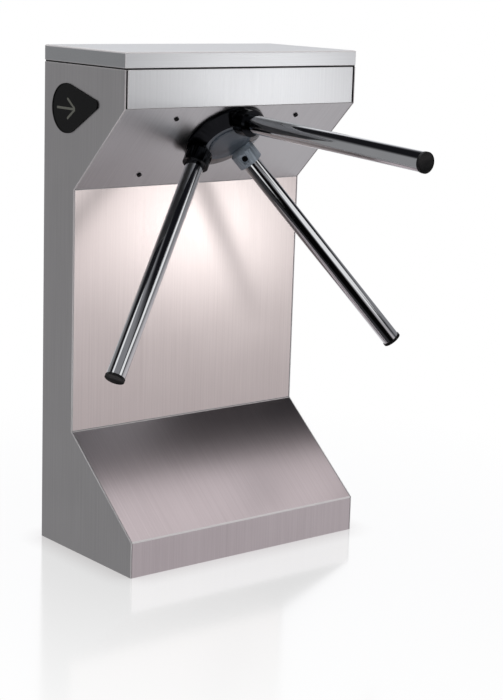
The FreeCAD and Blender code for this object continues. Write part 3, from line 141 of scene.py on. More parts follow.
def brushed_stainless(name, across, roughness, dull, bright):
    """Stainless sheet, belt-ground and brushed: soft broad reflections with straight hairlines.
    The real hairlines are about 0.3 mm apart and are drawn ten times as wide, so that they show."""
    material, tree, shader, place = start_material(name, Metallic=1.0)
    hairline = 3 * MM
    hairline_length = 260 * MM
    smudge_size = 150 * MM
    smudge_share = 0.35
    relief = 0.06
    scale = [1 / hairline if axis in across else 1 / hairline_length for axis in "xyz"]
    grain = add_node(tree, "ShaderNodeMapping", {"Scale": scale}, {"Vector": place})
    lines = add_node(tree, "ShaderNodeTexNoise", {"Scale": 1.0, "Detail": 5.0, "Roughness": 0.62},
                     {"Vector": grain.outputs["Vector"]})
    smudges = add_node(tree, "ShaderNodeTexNoise", {"Scale": 1 / smudge_size, "Detail": 2.0},
                       {"Vector": place})
    pattern = add_node(tree, "ShaderNodeMix", {0: smudge_share},
                       {2: lines.outputs["Fac"], 3: smudges.outputs["Fac"]})
    spread = add_node(tree, "ShaderNodeMapRange", {"From Min": 0.3, "From Max": 0.7},
                      {"Value": pattern.outputs[0]})
    vary(tree, shader, spread.outputs["Result"], dull, bright, roughness, relief)
    return material


def polished_tube():
    """Polished stainless tube: a near mirror with a faint haze of wiping marks along its length."""
    material, tree, shader, place = start_material("polished_stainless_tube", Metallic=1.0)
    haze_size = 40 * MM
    haze = add_node(tree, "ShaderNodeTexNoise", {"Scale": 1 / haze_size, "Detail": 4.0}, {"Vector": place})
    vary(tree, shader, haze.outputs["Fac"], "#d3d5d8", "#e4e5e7", (0.05, 0.11))
    return material


def mottled(name, grain_mm, dull, bright, roughness, bump=0.0, **values):
    """A material with an even fine mottle of one grain size, such as a cast, plated or moulded surface."""
    material, tree, shader, place = start_material(name, **values)
    grain = add_node(tree, "ShaderNodeTexNoise", {"Scale": 1 / (grain_mm * MM), "Detail": 6.0},
                     {"Vector": place})
    vary(tree, shader, grain.outputs["Fac"], dull, bright, roughness, bump)
    return material


# The head's sheets are a cool grey, and the lower ones are warmer, as from another sheet.
SHEET_HEAD = brushed_stainless("brushed_stainless_head", "x", (0.28, 0.35), "#c8cacc", "#d8dadc")
SHEET_COLUMN = brushed_stainless("brushed_stainless_column", "x", (0.28, 0.35), "#d2cac9", "#e0d8d7")
SHEET_PLINTH = brushed_stainless("brushed_stainless_plinth", "x", (0.28, 0.31), "#cdc7ca", "#dbd5d8")
SHEET_SIDE = brushed_stainless("brushed_stainless_side", "y", (0.28, 0.35), "#cbc9ca", "#dbd9da")
SHEET_LID = brushed_stainless("brushed_stainless_lid", "yz", (0.28, 0.35), "#c8cacc", "#d8dadc")
# Pale, mostly dull finish on the strips of the sheets' eased edges and bends: a painted highlight, shown as
# pale lines.
EDGE_PAINTED_HIGHLIGHT = mottled("sheet_edge_painted_highlight", 1.5, "#d6d4d5", "#e8e6e7", (0.62, 0.74), 0.05, Metallic=0.25)
TUBE = polished_tube()
# Pale bluish grainy finish on the black hub's right socket alone: a painted highlight on its lit side.
SOCKET_PAINTED_HIGHLIGHT = mottled("socket_painted_highlight", 2.5, "#98a4b1", "#b4bec8", (0.36, 0.5), 0.12, Metallic=0.45)
# Black nickel plating on the same casting: nearly black, with a sharp sheen.
HUB_METAL = mottled("black_nickel_casting", 30, "#1b1c1f", "#26282b", (0.16, 0.24), Metallic=1.0)
# Satin grey-blue lacquer on a turned disc.
HUB_FACE = mottled("satin_grey_blue_lacquer", 1.2, "#434b55", "#4f5862", (0.32, 0.4), 0.02)
# Moulded black ABS: fine spark-eroded texture, soft highlight.
BLACK_ABS = mottled("moulded_black_abs", 0.8, "#0b0b0c", "#151516", (0.4, 0.52), 0.05,
                    Specular_IOR_Level=0.2)
# Dark smoked acrylic: clear gloss over black.
LENS = mottled("smoked_acrylic", 60, "#060607", "#0c0d0e", (0.16, 0.24), Specular_IOR_Level=0.16)
# Grey screen ink on the lens: flat and slightly chalky.
ARROW_INK = mottled("grey_screen_ink", 1.0, "#5b5c55", "#6d6e66", (0.55, 0.7))
# Extruded EPDM rubber: dull black.
RUBBER = mottled("epdm_rubber", 0.6, "#121212", "#1c1c1b", (0.7, 0.85), 0.1)
# Black-oxide screws: dark oily steel.
BLACK_OXIDE = mottled("black_oxide_steel", 1.5, "#1d1d1f", "#2b2b2d", (0.38, 0.5), Metallic=1.0)
# Zinc-plated steel: bluish grey, with the cloudy crystals of the plating.
ZINC = mottled("zinc_plated_steel", 9, "#a9afb6", "#c3c8cc", (0.3, 0.46), 0.02, Metallic=1.0)
# Ground steel: brighter and plainer than the plating.
GROUND_STEEL = mottled("ground_steel", 2, "#a5a3a0", "#b9b7b3", (0.24, 0.34), 0.02, Metallic=1.0)
# Sand-cast aluminium: pale and grainy.
CAST_ALUMINIUM = mottled("cast_aluminium", 1.6, "#b4b6b8", "#c9cbcc", (0.5, 0.64), 0.25, Metallic=1.0)
# Coil tape: dull black wrap.
COIL_TAPE = mottled("coil_tape", 3, "#141416", "#202024", (0.5, 0.62), 0.05)
# FR4 board under green solder mask: satin, with the glass weave just showing.
BOARD = mottled("fr4_solder_mask", 1.5, "#0f3f24", "#14512e", (0.28, 0.4), 0.05)


# Modelling by hand

SMOOTH_ANGLE = math.radians(35)
# A rim is an edge at which the surface turns by more than this, in radians.
RIM_ANGLE = 1.2
# A face looks along an axis where its normal has at least this share of it.
FACING = 0.9
NEARLY = 0.98
NEAR = 0.1 * MM


def deselect():
    """Leaves nothing selected, so that the next operator acts only on what is picked for it."""
    bpy.ops.object.select_all(action="DESELECT")


def pick(piece):
    """Makes the piece the only one selected, and the active one."""
    deselect()
    piece.select_set(True)
    bpy.context.view_layer.objects.active = piece


def open_mesh(piece):
    """Picks the piece and goes into edit mode on it, with nothing of it selected."""
    pick(piece)
    bpy.ops.object.mode_set(mode="EDIT")
    bpy.ops.mesh.select_all(action="DESELECT")


def pick_faces(piece, wanted):
    """Selects the faces of the piece in edit mode for which wanted(face) holds."""
    bpy.ops.mesh.select_mode(type="FACE")
    mesh = bmesh.from_edit_mesh(piece.data)
    for face in mesh.faces:
        face.select_set(wanted(face))
    bmesh.update_edit_mesh(piece.data)


def pick_edges(piece, wanted):
    """Selects the edges of the piece in edit mode for which wanted(edge) holds."""
    bpy.ops.mesh.select_mode(type="EDGE")
    mesh = bmesh.from_edit_mesh(piece.data)
    for edge in mesh.edges:
        edge.select_set(wanted(edge))
    bmesh.update_edit_mesh(piece.data)


def close_mesh():
    """Leaves edit mode and shades the piece smooth, apart from its sharp edges."""
    bpy.ops.object.mode_set(mode="OBJECT")
    bpy.ops.object.shade_smooth_by_angle(angle=SMOOTH_ANGLE)


def settle(piece, place):
    """Puts the piece at a place and applies that, so that the place is in its mesh."""
    pick(piece)
    piece.matrix_world = place
    bpy.ops.object.transform_apply(location=True, rotation=True, scale=True)


def dress(piece, body, material, slot, *replaced):
    """Gives the piece its finish, the body that it rides on and the nodes that it stands for."""
    piece.data.materials.clear()
    piece.data.materials.append(material)
    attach(piece, body)
    if replaced:
        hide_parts(*replaced)
    return piece


def joined(parts, name):
    """Joins the parts into one piece and names it."""
    deselect()
    for part in parts:
        part.select_set(True)
    bpy.context.view_layer.objects.active = parts[0]
    bpy.ops.object.join()
    parts[0].name = name
    return parts[0]


def copies(pattern, places, name):
    """One piece made of copies of a pattern, one at each place."""
    parts = []
    for place in places:
        part = bpy.data.objects.new(name, pattern.data.copy())
        bpy.context.scene.collection.objects.link(part)
        settle(part, place)
        parts.append(part)
    bpy.data.objects.remove(pattern)
    return joined(parts, name)


def combine(piece, other, operation):
    """Adds the other shape to the piece, or cuts it out, and takes the other away."""
    pick(piece)
    change = piece.modifiers.new("combine", "BOOLEAN")
    change.operation = operation
    change.solver = "EXACT"
    change.object = other
    bpy.ops.object.modifier_apply(modifier="combine")
    bpy.data.objects.remove(other)


MERGE_DISTANCE = 0.002 * MM
FLATNESS = math.radians(0.5)
SHARP_ANGLE = math.radians(28)
FOLD_RADIUS = 2.2 * MM
BROAD = 6 * MM


def softened(node, material, slot, width, fold=None):
    """A copy of a node, merged into clean faces, with its long sharp edges eased to catch the light.
    Edges for which fold(edge) holds are bends in the sheet, and get their larger radius first. Faces that
    are broad for their length are flat sheet and stay flat to the eye, up to the eased edges."""
    cad = NODES[node]
    piece = bpy.data.objects.new(f"{node}_finished", cad.data.copy())
    bpy.context.scene.collection.objects.link(piece)
    open_mesh(piece)
    bpy.ops.mesh.select_all(action="SELECT")
    bpy.ops.mesh.remove_doubles(threshold=MERGE_DISTANCE)
    bpy.ops.mesh.dissolve_limited(angle_limit=FLATNESS)
    if fold:
        pick_edges(piece, fold)
        bpy.ops.mesh.bevel(offset=FOLD_RADIUS, segments=5, clamp_overlap=True)
    pick_edges(piece, lambda edge: edge.is_manifold and edge.calc_face_angle() > SHARP_ANGLE
               and edge.calc_length() > 3 * width)
    bpy.ops.mesh.bevel(offset=width, segments=3, clamp_overlap=True)
    close_mesh()
    open_mesh(piece)
    pick_faces(piece, lambda face: face.calc_area() > BROAD * max(edge.calc_length() for edge in face.edges))
    bpy.ops.mesh.faces_shade_flat()
    bpy.ops.object.mode_set(mode="OBJECT")
    return dress(piece, cad["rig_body"], material, slot, node)


# Cabinet sheets

# Each sheet's finish, and how far its edges are eased, in mm.
SHEETS = {
    "left_side_plate": (SHEET_SIDE, 0.6),
    "right_side_plate": (SHEET_SIDE, 0.6),
    "back_panel": (SHEET_HEAD, 0.5),
    "front_band": (SHEET_HEAD, 0.7),
    "mechanism_panel": (SHEET_HEAD, 0.7),
    "column_panel": (SHEET_COLUMN, 0.7),
    "plinth_cover": (SHEET_PLINTH, 0.9),
    "rear_door": (SHEET_HEAD, 0.7),
    "lid": (SHEET_LID, 0.7),
}
LID_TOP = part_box("lid")[1].z
# Bends, by the angle in radians through which the sheet turns.
PLINTH_BEND_LEAST = 0.5
PLINTH_BEND_MOST = 1.2
LID_BEND_LEAST = 1.0


def plinth_fold(edge):
    """Holds for the bend between the plinth's slope and its front."""
    return edge.is_manifold and PLINTH_BEND_LEAST < edge.calc_face_angle() < PLINTH_BEND_MOST


def lid_fold(edge):
    """Holds for the bends around the lid's top."""
    return (edge.is_manifold and edge.calc_face_angle() > LID_BEND_LEAST
            and min(v.co.z for v in edge.verts) > LID_TOP - NEAR)


def paint_faces(piece, material, wanted):
    """Gives the faces for which wanted(face) holds a finish of their own."""
    piece.data.materials.append(material)
    index = len(piece.data.materials) - 1
    for face in piece.data.polygons:
        if wanted(face):
            face.material_index = index


FOLDS = {"plinth_cover": plinth_fold, "lid": lid_fold}
STRIP_WIDTH = 1.0 * MM
for sheet, (material, width) in SHEETS.items():
    plate = softened(sheet, material, "brushed_stainless", width * MM, FOLDS.get(sheet))
    spots = plate.data.vertices
    # The narrow strips of each sheet take the pale edge finish: a painted highlight along its edges and
    # bends.
    paint_faces(plate, EDGE_PAINTED_HIGHLIGHT, lambda face: face.area < STRIP_WIDTH * max(
        (spots[a].co - spots[b].co).length for a, b in face.edge_keys))


# Rotor

def arm_place(name):
    """The place of an arm's axis: Z runs along the arm from the point where the three axes meet."""
    turn = Matrix.Rotation(math.radians(ARM_TURNS[name]), 4, "Z")
    lean = Matrix.Rotation(-ARM_LEAN, 4, "X")
    return MECHANISM @ Matrix.Translation((0, 0, -APEX_DEPTH)) @ turn @ lean


def polished_arm(name):
    """A straight tube: a cylinder whose ends are inset by the wall and pushed in, with its rims eased."""
    length = ARM_END - ARM_START
    half_end = math.pi * ARM_RADIUS ** 2 / 2
    deselect()
    bpy.ops.mesh.primitive_cylinder_add(vertices=72, radius=ARM_RADIUS, depth=length, location=(0, 0, 0))
    tube = bpy.context.object
    tube.name = f"{name}_tube"
    open_mesh(tube)
    pick_faces(tube, lambda face: abs(face.normal.z) > FACING)
    bpy.ops.mesh.inset(thickness=ARM_WALL)
    for side in (1, -1):
        pick_faces(tube, lambda face: face.normal.z * side > FACING and face.calc_area() > half_end)
        bpy.ops.mesh.extrude_region_move(TRANSFORM_OT_translate={"value": (0, 0, -side * ARM_BORE)})
    pick_edges(tube, lambda edge: edge.is_manifold and edge.calc_face_angle() > RIM_ANGLE
               and min(v.co.xy.length for v in edge.verts) > ARM_RADIUS - NEAR)
    bpy.ops.mesh.bevel(offset=ARM_RIM, segments=3)
    close_mesh()
    settle(tube, arm_place(name) @ Matrix.Translation((0, 0, ARM_START + length / 2)))
    dress(tube, "tripod", TUBE, "polished_tube", f"{name}_arm")


def make_hub():
    """The hub casting: black cone and sockets, a grey-blue flat, a painted highlight on the right socket."""
    hub = softened("hub", HUB_METAL, "hub_casting", HUB_EASE)
    clamp = arm_place("right").inverted()
    sockets = [arm_place(name).inverted() for name in ARM_TURNS]

    def within_socket(spot):
        return spot.z > SOCKET_START and spot.xy.length < SOCKET_RADIUS + SOCKET_MARGIN

    def on_flat(face):
        height = (face.center - HUB_PLACE).dot(HUB_AXIS)
        return (face.normal.dot(HUB_AXIS) > NEARLY and height > HUB_FLAT_HEIGHT
                and not any(within_socket(place @ face.center) for place in sockets))

    paint_faces(hub, HUB_FACE, on_flat)
    # The right socket alone takes the pale finish: a painted highlight.
    paint_faces(hub, SOCKET_PAINTED_HIGHLIGHT, lambda face: within_socket(clamp @ face.center))


make_hub()
for name in ARM_TURNS:
    polished_arm(name)

# Smaller nodes: the finish, the slot, and how far the edges are eased, in mm.
for node, material, slot, width in (
    ("hub_cap", HUB_FACE, "hub_face", 0.8),
    ("front_end_cap", BLACK_ABS, "black_plastic", 1.4),
    ("left_end_cap", BLACK_ABS, "black_plastic", 1.4),
    ("right_end_cap", BLACK_ABS, "black_plastic", 1.4),
    ("left_indicator_bezel", BLACK_ABS, "black_plastic", 0.8),
    ("right_indicator_bezel", BLACK_ABS, "black_plastic", 0.8),
    ("left_indicator_lens", LENS, "dark_lens", 0.4),
    ("right_indicator_lens", LENS, "dark_lens", 0.4),
    ("panel_screws", BLACK_OXIDE, "dark_screws", 0.5),
    ("arm_set_screws", BLACK_OXIDE, "dark_screws", 0.4),
    ("hinge_frame_leaves", ZINC, "zinc_steel", 0.35),
    ("lid_hinge_leaves", ZINC, "zinc_steel", 0.35),
    ("door_hinge_leaves", ZINC, "zinc_steel", 0.35),
    ("hinge_pins", ZINC, "zinc_steel", 0.35),
    ("lid_catch", ZINC, "zinc_steel", 0.35),
    ("lid_lock_barrel", ZINC, "zinc_steel", 0.4),
    ("lid_lock_cam", ZINC, "zinc_steel", 0.2),
    ("door_lock_barrel", ZINC, "zinc_steel", 0.4),
    ("door_lock_cam", ZINC, "zinc_steel", 0.2),
    ("mechanism_plate", ZINC, "zinc_steel", 0.5),
    ("left_pawl", ZINC, "zinc_steel", 0.4),
    ("right_pawl", ZINC, "zinc_steel", 0.4),
    ("lock_disc", GROUND_STEEL, "machined_steel", 0.4),
    ("bearing_housing", CAST_ALUMINIUM, "cast_aluminium", 0.8),
    ("damper_body", CAST_ALUMINIUM, "cast_aluminium", 0.6),
    ("power_supply", CAST_ALUMINIUM, "cast_aluminium", 0.8),
    ("solenoids", COIL_TAPE, "coil_black", 0.6),
    ("position_sensor", BLACK_ABS, "black_plastic", 0.5),
):
    softened(node, material, slot, width * MM)


# Side indicators

ARROW_LENGTH = 62 * MM
ARROW_BARB = 33 * MM
ARROW_SPREAD = math.radians(36)
ARROW_STROKE = 4.5 * MM
ARROW_ROUND = 0.45 * ARROW_STROKE
ARROW_SHEET = 0.4 * MM
ARROW_SETBACK = 76 * MM


def direction_arrow(side, sign):
    """A thin printed arrow that points to the front: a shaft and two barbs that meet at its tip."""
    low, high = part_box(f"{side}_indicator_lens")
    tip = Vector((low.x if sign < 0 else high.x, high.y - ARROW_SETBACK, (low.z + high.z) / 2))
    strokes = ((ARROW_LENGTH, 0.0), (ARROW_BARB, ARROW_SPREAD), (ARROW_BARB, -ARROW_SPREAD))
    parts = []
    for length, lean in strokes:
        deselect()
        bpy.ops.mesh.primitive_cube_add(size=1)
        stroke = bpy.context.object
        open_mesh(stroke)
        bpy.ops.mesh.select_all(action="SELECT")
        bpy.ops.transform.resize(value=(2 * ARROW_SHEET, length, ARROW_STROKE))
        bpy.ops.transform.translate(value=(0, length / 2, 0))
        pick_edges(stroke, lambda edge: abs(edge.verts[0].co.x - edge.verts[1].co.x) > ARROW_SHEET)
        bpy.ops.mesh.bevel(offset=ARROW_ROUND, segments=4)
        close_mesh()
        settle(stroke, Matrix.Translation(tip) @ Matrix.Rotation(lean, 4, "X"))
        parts.append(stroke)
    arrow = parts[0]
    arrow.name = f"{side}_arrow"
    for barb in parts[1:]:
        combine(arrow, barb, "UNION")
    dress(arrow, "cabinet", ARROW_INK, "dark_lens")


for side, sign in (("left", -1), ("right", 1)):
    direction_arrow(side, sign)


# Small fittings

def block(size, centre, ease):
    """A moulded block of a size in X, Y and Z about a centre, with its edges eased."""
    deselect()
    bpy.ops.mesh.primitive_cube_add(size=1)
    piece = bpy.context.object
    open_mesh(piece)
    bpy.ops.mesh.select_all(action="SELECT")
    bpy.ops.transform.resize(value=size)
    bpy.ops.mesh.bevel(offset=ease, segments=2)
    close_mesh()
    settle(piece, Matrix.Translation(centre))
    return piece


def round_head(radius, height, socket, depth, ease):
    """A round head that stands along Z on the origin, with an eased rim and a round socket in its top."""
    deselect()
    bpy.ops.mesh.primitive_cylinder_add(vertices=24, radius=radius, depth=height)
    piece = bpy.context.object
    open_mesh(piece)
    bpy.ops.mesh.select_all(action="SELECT")
    bpy.ops.transform.translate(value=(0, 0, height / 2))
    pick_faces(piece, lambda face: face.normal.z > FACING)
    bpy.ops.mesh.inset(thickness=radius - socket)
    bpy.ops.mesh.extrude_region_move(TRANSFORM_OT_translate={"value": (0, 0, -depth)})
    pick_edges(piece, lambda edge: edge.is_manifold and edge.calc_face_angle() > RIM_ANGLE
               and min(v.co.z for v in edge.verts) > NEARLY * height
               and min(v.co.xy.length for v in edge.verts) > NEARLY * radius)
    bpy.ops.mesh.bevel(offset=ease, segments=3)
    close_mesh()
    return piece


TO_BACK = Matrix.Rotation(math.radians(-90), 4, "X")
TO_FRONT = Matrix.Rotation(math.radians(90), 4, "X")
LEAF_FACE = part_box("back_panel")[1].y + 2 * MM
SCREW_REACH = 14 * MM
SCREW_SPREAD = 20 * MM
LID_PIN_HEIGHT = JOINTS["lid_open"]["pos_m"][2]
DOOR_PIN_X = JOINTS["rear_door_open"]["pos_m"][0]
LID_SCREW_ROW = [hinge + side * SCREW_SPREAD for hinge in (-150 * MM, 150 * MM) for side in (-1, 1)]
DOOR_SCREW_ROW = [hinge + side * SCREW_SPREAD for hinge in (130 * MM, 410 * MM) for side in (-1, 1)]


def hinge_screws(name, body, spots):
    """Button-head screws that hold the hinge leaves on the back."""
    head = round_head(radius=3.2 * MM, height=1.7 * MM, socket=1.5 * MM, depth=1.0 * MM, ease=0.8 * MM)
    places = [Matrix.Translation((x, LEAF_FACE, z)) @ TO_BACK for x, z in spots]
    dress(copies(head, places, name), body, ZINC, "zinc_steel")


hinge_screws("lid_hinge_screws", "lid", [(x, LID_PIN_HEIGHT + SCREW_REACH) for x in LID_SCREW_ROW])
hinge_screws("door_hinge_screws", "rear_door", [(DOOR_PIN_X + SCREW_REACH, z) for z in DOOR_SCREW_ROW])
hinge_screws("frame_hinge_screws", "cabinet", [(x, LID_PIN_HEIGHT - SCREW_REACH) for x in LID_SCREW_ROW]
             + [(DOOR_PIN_X - SCREW_REACH, z) for z in DOOR_SCREW_ROW])

# The centring spring, in the mechanism's frame: a coil between a loop on the crank pin and one on the post.
SPRING_X = 80 * MM
SPRING_LEVEL = -98 * MM
SPRING_RADIUS = 4.3 * MM
SPRING_WIRE = 1.3 * MM
SPRING_TURNS = 44
COIL_TOP = -23 * MM
COIL_BOTTOM = -91 * MM
LOOP_RADIUS = 5.0 * MM
LOOP_TOP = -14 * MM
LOOP_ANGLES = range(-55, 226, 20)
POINTS_PER_TURN = 12


def centring_coil():
    """A close-wound extension spring whose wire ends in a loop at both ends."""
    middle = (COIL_TOP + COIL_BOTTOM) / 2
    loop = []
    for degrees in LOOP_ANGLES:
        angle = math.radians(degrees)
        loop.append(Vector((LOOP_RADIUS * math.cos(angle), LOOP_TOP + LOOP_RADIUS * math.sin(angle), 0)))
    coil = []
    for step in range(SPRING_TURNS * POINTS_PER_TURN + 1):
        angle = math.pi + math.tau * step / POINTS_PER_TURN
        along = COIL_TOP + (COIL_BOTTOM - COIL_TOP) * step / (SPRING_TURNS * POINTS_PER_TURN)
        coil.append(Vector((SPRING_RADIUS * math.cos(angle), along, SPRING_RADIUS * math.sin(angle))))
    other_loop = [Vector((spot.x, 2 * middle - spot.y, 0)) for spot in reversed(loop)]
    route = loop + coil + other_loop
    deselect()
    bpy.ops.curve.primitive_nurbs_path_add()
    wire = bpy.context.object
    spline = wire.data.splines[0]
    spline.points.add(len(route) - len(spline.points))
    for point, spot in zip(spline.points, route):
        point.co = (*spot, 1)
    spline.order_u = 4
    spline.use_endpoint_u = True
    wire.data.resolution_u = 2
    wire.data.bevel_depth = SPRING_WIRE / 2
    wire.data.bevel_resolution = 2
    wire.data.use_fill_caps = True
    bpy.ops.object.convert(target="MESH")
    coil_piece = bpy.context.object
    coil_piece.name = "centring_coil"
    bpy.ops.object.shade_smooth()
    settle(coil_piece, MECHANISM @ Matrix.Translation((SPRING_X, 0, SPRING_LEVEL)))
    dress(coil_piece, "cabinet", GROUND_STEEL, "machined_steel", "centring_spring")


centring_coil()

# Parts on the control board: width, height and depth, and their middle in X and Z from the board's, in mm.
TERMINAL_STRIPS = [(60, 9, 11, -58, 52), (60, 9, 11, 10, 52), (60, 9, 11, -48, -50)]
BOARD_BLOCKS = TERMINAL_STRIPS + [
    (26, 26, 3, -24, 2), (12, 9, 2, -62, 10), (12, 9, 2, -62, -8), (9, 12, 2, 10, 8), (14, 10, 10, 82, 50),
    (19, 15, 16, 24, -26), (19, 15, 16, 47, -26), (19, 15, 16, 70, -26),
]
CAPACITORS = [(44, 20), (62, 20), (80, 20)]
TERMINAL_PITCH = 7.5 * MM
TERMINALS = 8
MOULDED_EASE = 0.5 * MM
# The power supply's vent slots, cut into its cover, and its terminal strip.
VENT_SIZE = (60 * MM, 5 * MM, 2.8 * MM)
VENT_COLUMNS = (-38 * MM, 38 * MM)
VENT_ROWS = 8
VENT_START = 34 * MM
VENT_PITCH = 7 * MM
VENT_EASE = 0.6 * MM
STRIP_SIZE = Vector((72, 11, 14)) * MM
STRIP_HEIGHT = 14 * MM


def terminal_screws(name, face, strips):
    """A row of terminal screws along each strip, on its face to the front."""
    head = round_head(radius=2.2 * MM, height=0.8 * MM, socket=1.2 * MM, depth=0.5 * MM, ease=0.3 * MM)
    places = []
    for x, z in strips:
        for index in range(TERMINALS):
            along = x + (index - (TERMINALS - 1) / 2) * TERMINAL_PITCH
            places.append(Matrix.Translation((along, face, z)) @ TO_FRONT)
    dress(copies(head, places, name), "cabinet", ZINC, "zinc_steel")


def control_parts():
    """Chips, relays and terminal strips, with capacitors that stand out to the front."""
    low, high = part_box("control_board")
    middle = (low + high) / 2
    face = low.y
    blocks = []
    for width, height, depth, x, z in BOARD_BLOCKS:
        centre = (middle.x + x * MM, face - depth * MM / 2, middle.z + z * MM)
        blocks.append(block((width * MM, depth * MM, height * MM), centre, MOULDED_EASE))
    dress(joined(blocks, "control_blocks"), "cabinet", BLACK_ABS, "black_plastic")
    can = round_head(radius=6.5 * MM, height=24 * MM, socket=5.6 * MM, depth=0.5 * MM, ease=1.0 * MM)
    places = [Matrix.Translation((middle.x + x * MM, face, middle.z + z * MM)) @ TO_FRONT
              for x, z in CAPACITORS]
    dress(copies(can, places, "control_capacitors"), "cabinet", COIL_TAPE, "coil_black")
    strips = [(middle.x + strip[3] * MM, middle.z + strip[4] * MM) for strip in TERMINAL_STRIPS]
    terminal_screws("control_terminals", face - TERMINAL_STRIPS[0][2] * MM, strips)


def supply_parts():
    """Vent slots in the power supply's cover, and its terminal strip."""
    low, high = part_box("power_supply")
    middle = (low + high) / 2
    slots = []
    for column in VENT_COLUMNS:
        for row in range(VENT_ROWS):
            centre = (middle.x + column, low.y, low.z + VENT_START + row * VENT_PITCH)
            slots.append(block(VENT_SIZE, centre, VENT_EASE))
    combine(bpy.data.objects["power_supply_finished"], joined(slots, "vent_cutter"), "DIFFERENCE")
    spot = Vector((middle.x, low.y - STRIP_SIZE.y / 2, low.z + STRIP_HEIGHT))
    strip = block(STRIP_SIZE, spot, VENT_EASE)
    strip.name = "supply_terminal_strip"
    dress(strip, "cabinet", BLACK_ABS, "black_plastic")
    terminal_screws("supply_terminals", low.y - STRIP_SIZE.y, [(spot.x, spot.z)])


control_parts()
supply_parts()


# Nodes that keep their CAD shape

NODE_FINISHES = {
    ZINC: ["base_plate", "housing_bolts", "hub_bolt", "shaft_nut", "pawl_pivots", "centring_stub",
           "spring_post", "left_plunger", "right_plunger"],
    GROUND_STEEL: ["main_shaft", "bearing_inner_rings", "bearing_outer_rings", "main_gear",
                   "centring_pinion", "damper_pinion"],
    BOARD: ["control_board", "indicator_boards"],
    RUBBER: ["lid_seal"],
}
for material, names in NODE_FINISHES.items():
    for name in names:
        NODES[name].data.materials.clear()
        NODES[name].data.materials.append(material)


# Camera, found by fitting the cabinet's corners to the photograph's

PHOTO_WIDTH = 503
PHOTO_HEIGHT = 700
CAMERA_PLACE = Vector((-2.13724, -2.77528, 1.13854))
CAMERA_YAW = math.radians(38.95)
CAMERA_PITCH = math.radians(-12.15)
CAMERA_ROLL = math.radians(1.79)
CAMERA_FOCAL_PIXELS = 1787.19
CAMERA_CENTRE_PIXELS = (243.84, 350.09)
SENSOR_MM = 36


def make_camera():
    """The photograph's camera, with the small shift that its framing needs."""
    ahead = Vector((math.sin(CAMERA_YAW) * math.cos(CAMERA_PITCH),
                    math.cos(CAMERA_YAW) * math.cos(CAMERA_PITCH), math.sin(CAMERA_PITCH)))
    level = Vector((math.cos(CAMERA_YAW), -math.sin(CAMERA_YAW), 0))
    upright = level.cross(ahead)
    right = level * math.cos(CAMERA_ROLL) + upright * math.sin(CAMERA_ROLL)
    up = upright * math.cos(CAMERA_ROLL) - level * math.sin(CAMERA_ROLL)
    camera = bpy.data.objects.new("photo_camera", bpy.data.cameras.new("photo_camera"))
    bpy.context.scene.collection.objects.link(camera)
    turn = Matrix((right, up, -ahead)).transposed().to_4x4()
    camera.matrix_world = Matrix.Translation(CAMERA_PLACE) @ turn
    camera.data.sensor_width = SENSOR_MM
    camera.data.lens = CAMERA_FOCAL_PIXELS / PHOTO_HEIGHT * SENSOR_MM
    camera.data.shift_x = (PHOTO_WIDTH / 2 - CAMERA_CENTRE_PIXELS[0]) / PHOTO_HEIGHT
    camera.data.shift_y = (CAMERA_CENTRE_PIXELS[1] - PHOTO_HEIGHT / 2) / PHOTO_HEIGHT
    bpy.context.scene.camera = camera


# Studio

WHITE = linear("#ffffff")
# What polished metal shows where no wall is named, and what lights dull surfaces.
STUDIO_GREY = "#8c8c8f"
SOFT_LIGHT = "#d8d8d8"
# Walls of the studio that polished metal shows: a direction, the angles from it at which each is full and
# gone, in degrees, and a colour. A later wall stands before an earlier one.
STUDIO_WALLS = [
    ("pale floor", (0.0, 0.0, -1.0), 76, 95, "#cbc6c8"),
    ("dark ceiling", (0.42, -0.17, 0.89), 38, 50, "#16161a"),
    ("dark ceiling on the left", (-0.42, 0.44, 0.78), 22, 33, "#1a1a1d"),
    ("dark ceiling behind", (-0.1, 0.75, 0.62), 22, 34, "#1a1a1d"),
    ("white backdrop", (0.4, 0.92, 0.0), 28, 44, "#f4f4f7"),
    ("backdrop above the lid", (0.42, 0.86, 0.3), 13, 23, "#f4f4f7"),
    ("bright floor in front", (0.57, -0.74, -0.42), 14, 25, "#dcd8d8"),
    ("floor near the base", (0.55, -0.75, -0.46), 6, 18, "#bcb4b7"),
    ("dark room in front", (0.5, -0.8, 0.44), 18, 29, "#1c1c1f"),
    ("front softbox", (0.58, -0.71, 0.4), 11, 16, "#ffffff"),
    ("small softbox", (0.3, -0.93, 0.2), 11, 16, "#ffffff"),
    ("grey floor on the left", (-0.62, 0.76, -0.2), 26, 52, "#959596"),
    ("dark floor under the arms", (-0.6, -0.2, -0.75), 22, 46, "#343436"),
    ("dark floor behind the camera", (-0.44, -0.82, -0.34), 26, 42, "#060606"),
    ("card for upright edges", (-0.76, -0.6, -0.2), 8, 14, "#ffffff"),
    ("card for sloping edges", (-0.64, -0.02, 0.76), 7, 11, "#ffffff"),
]


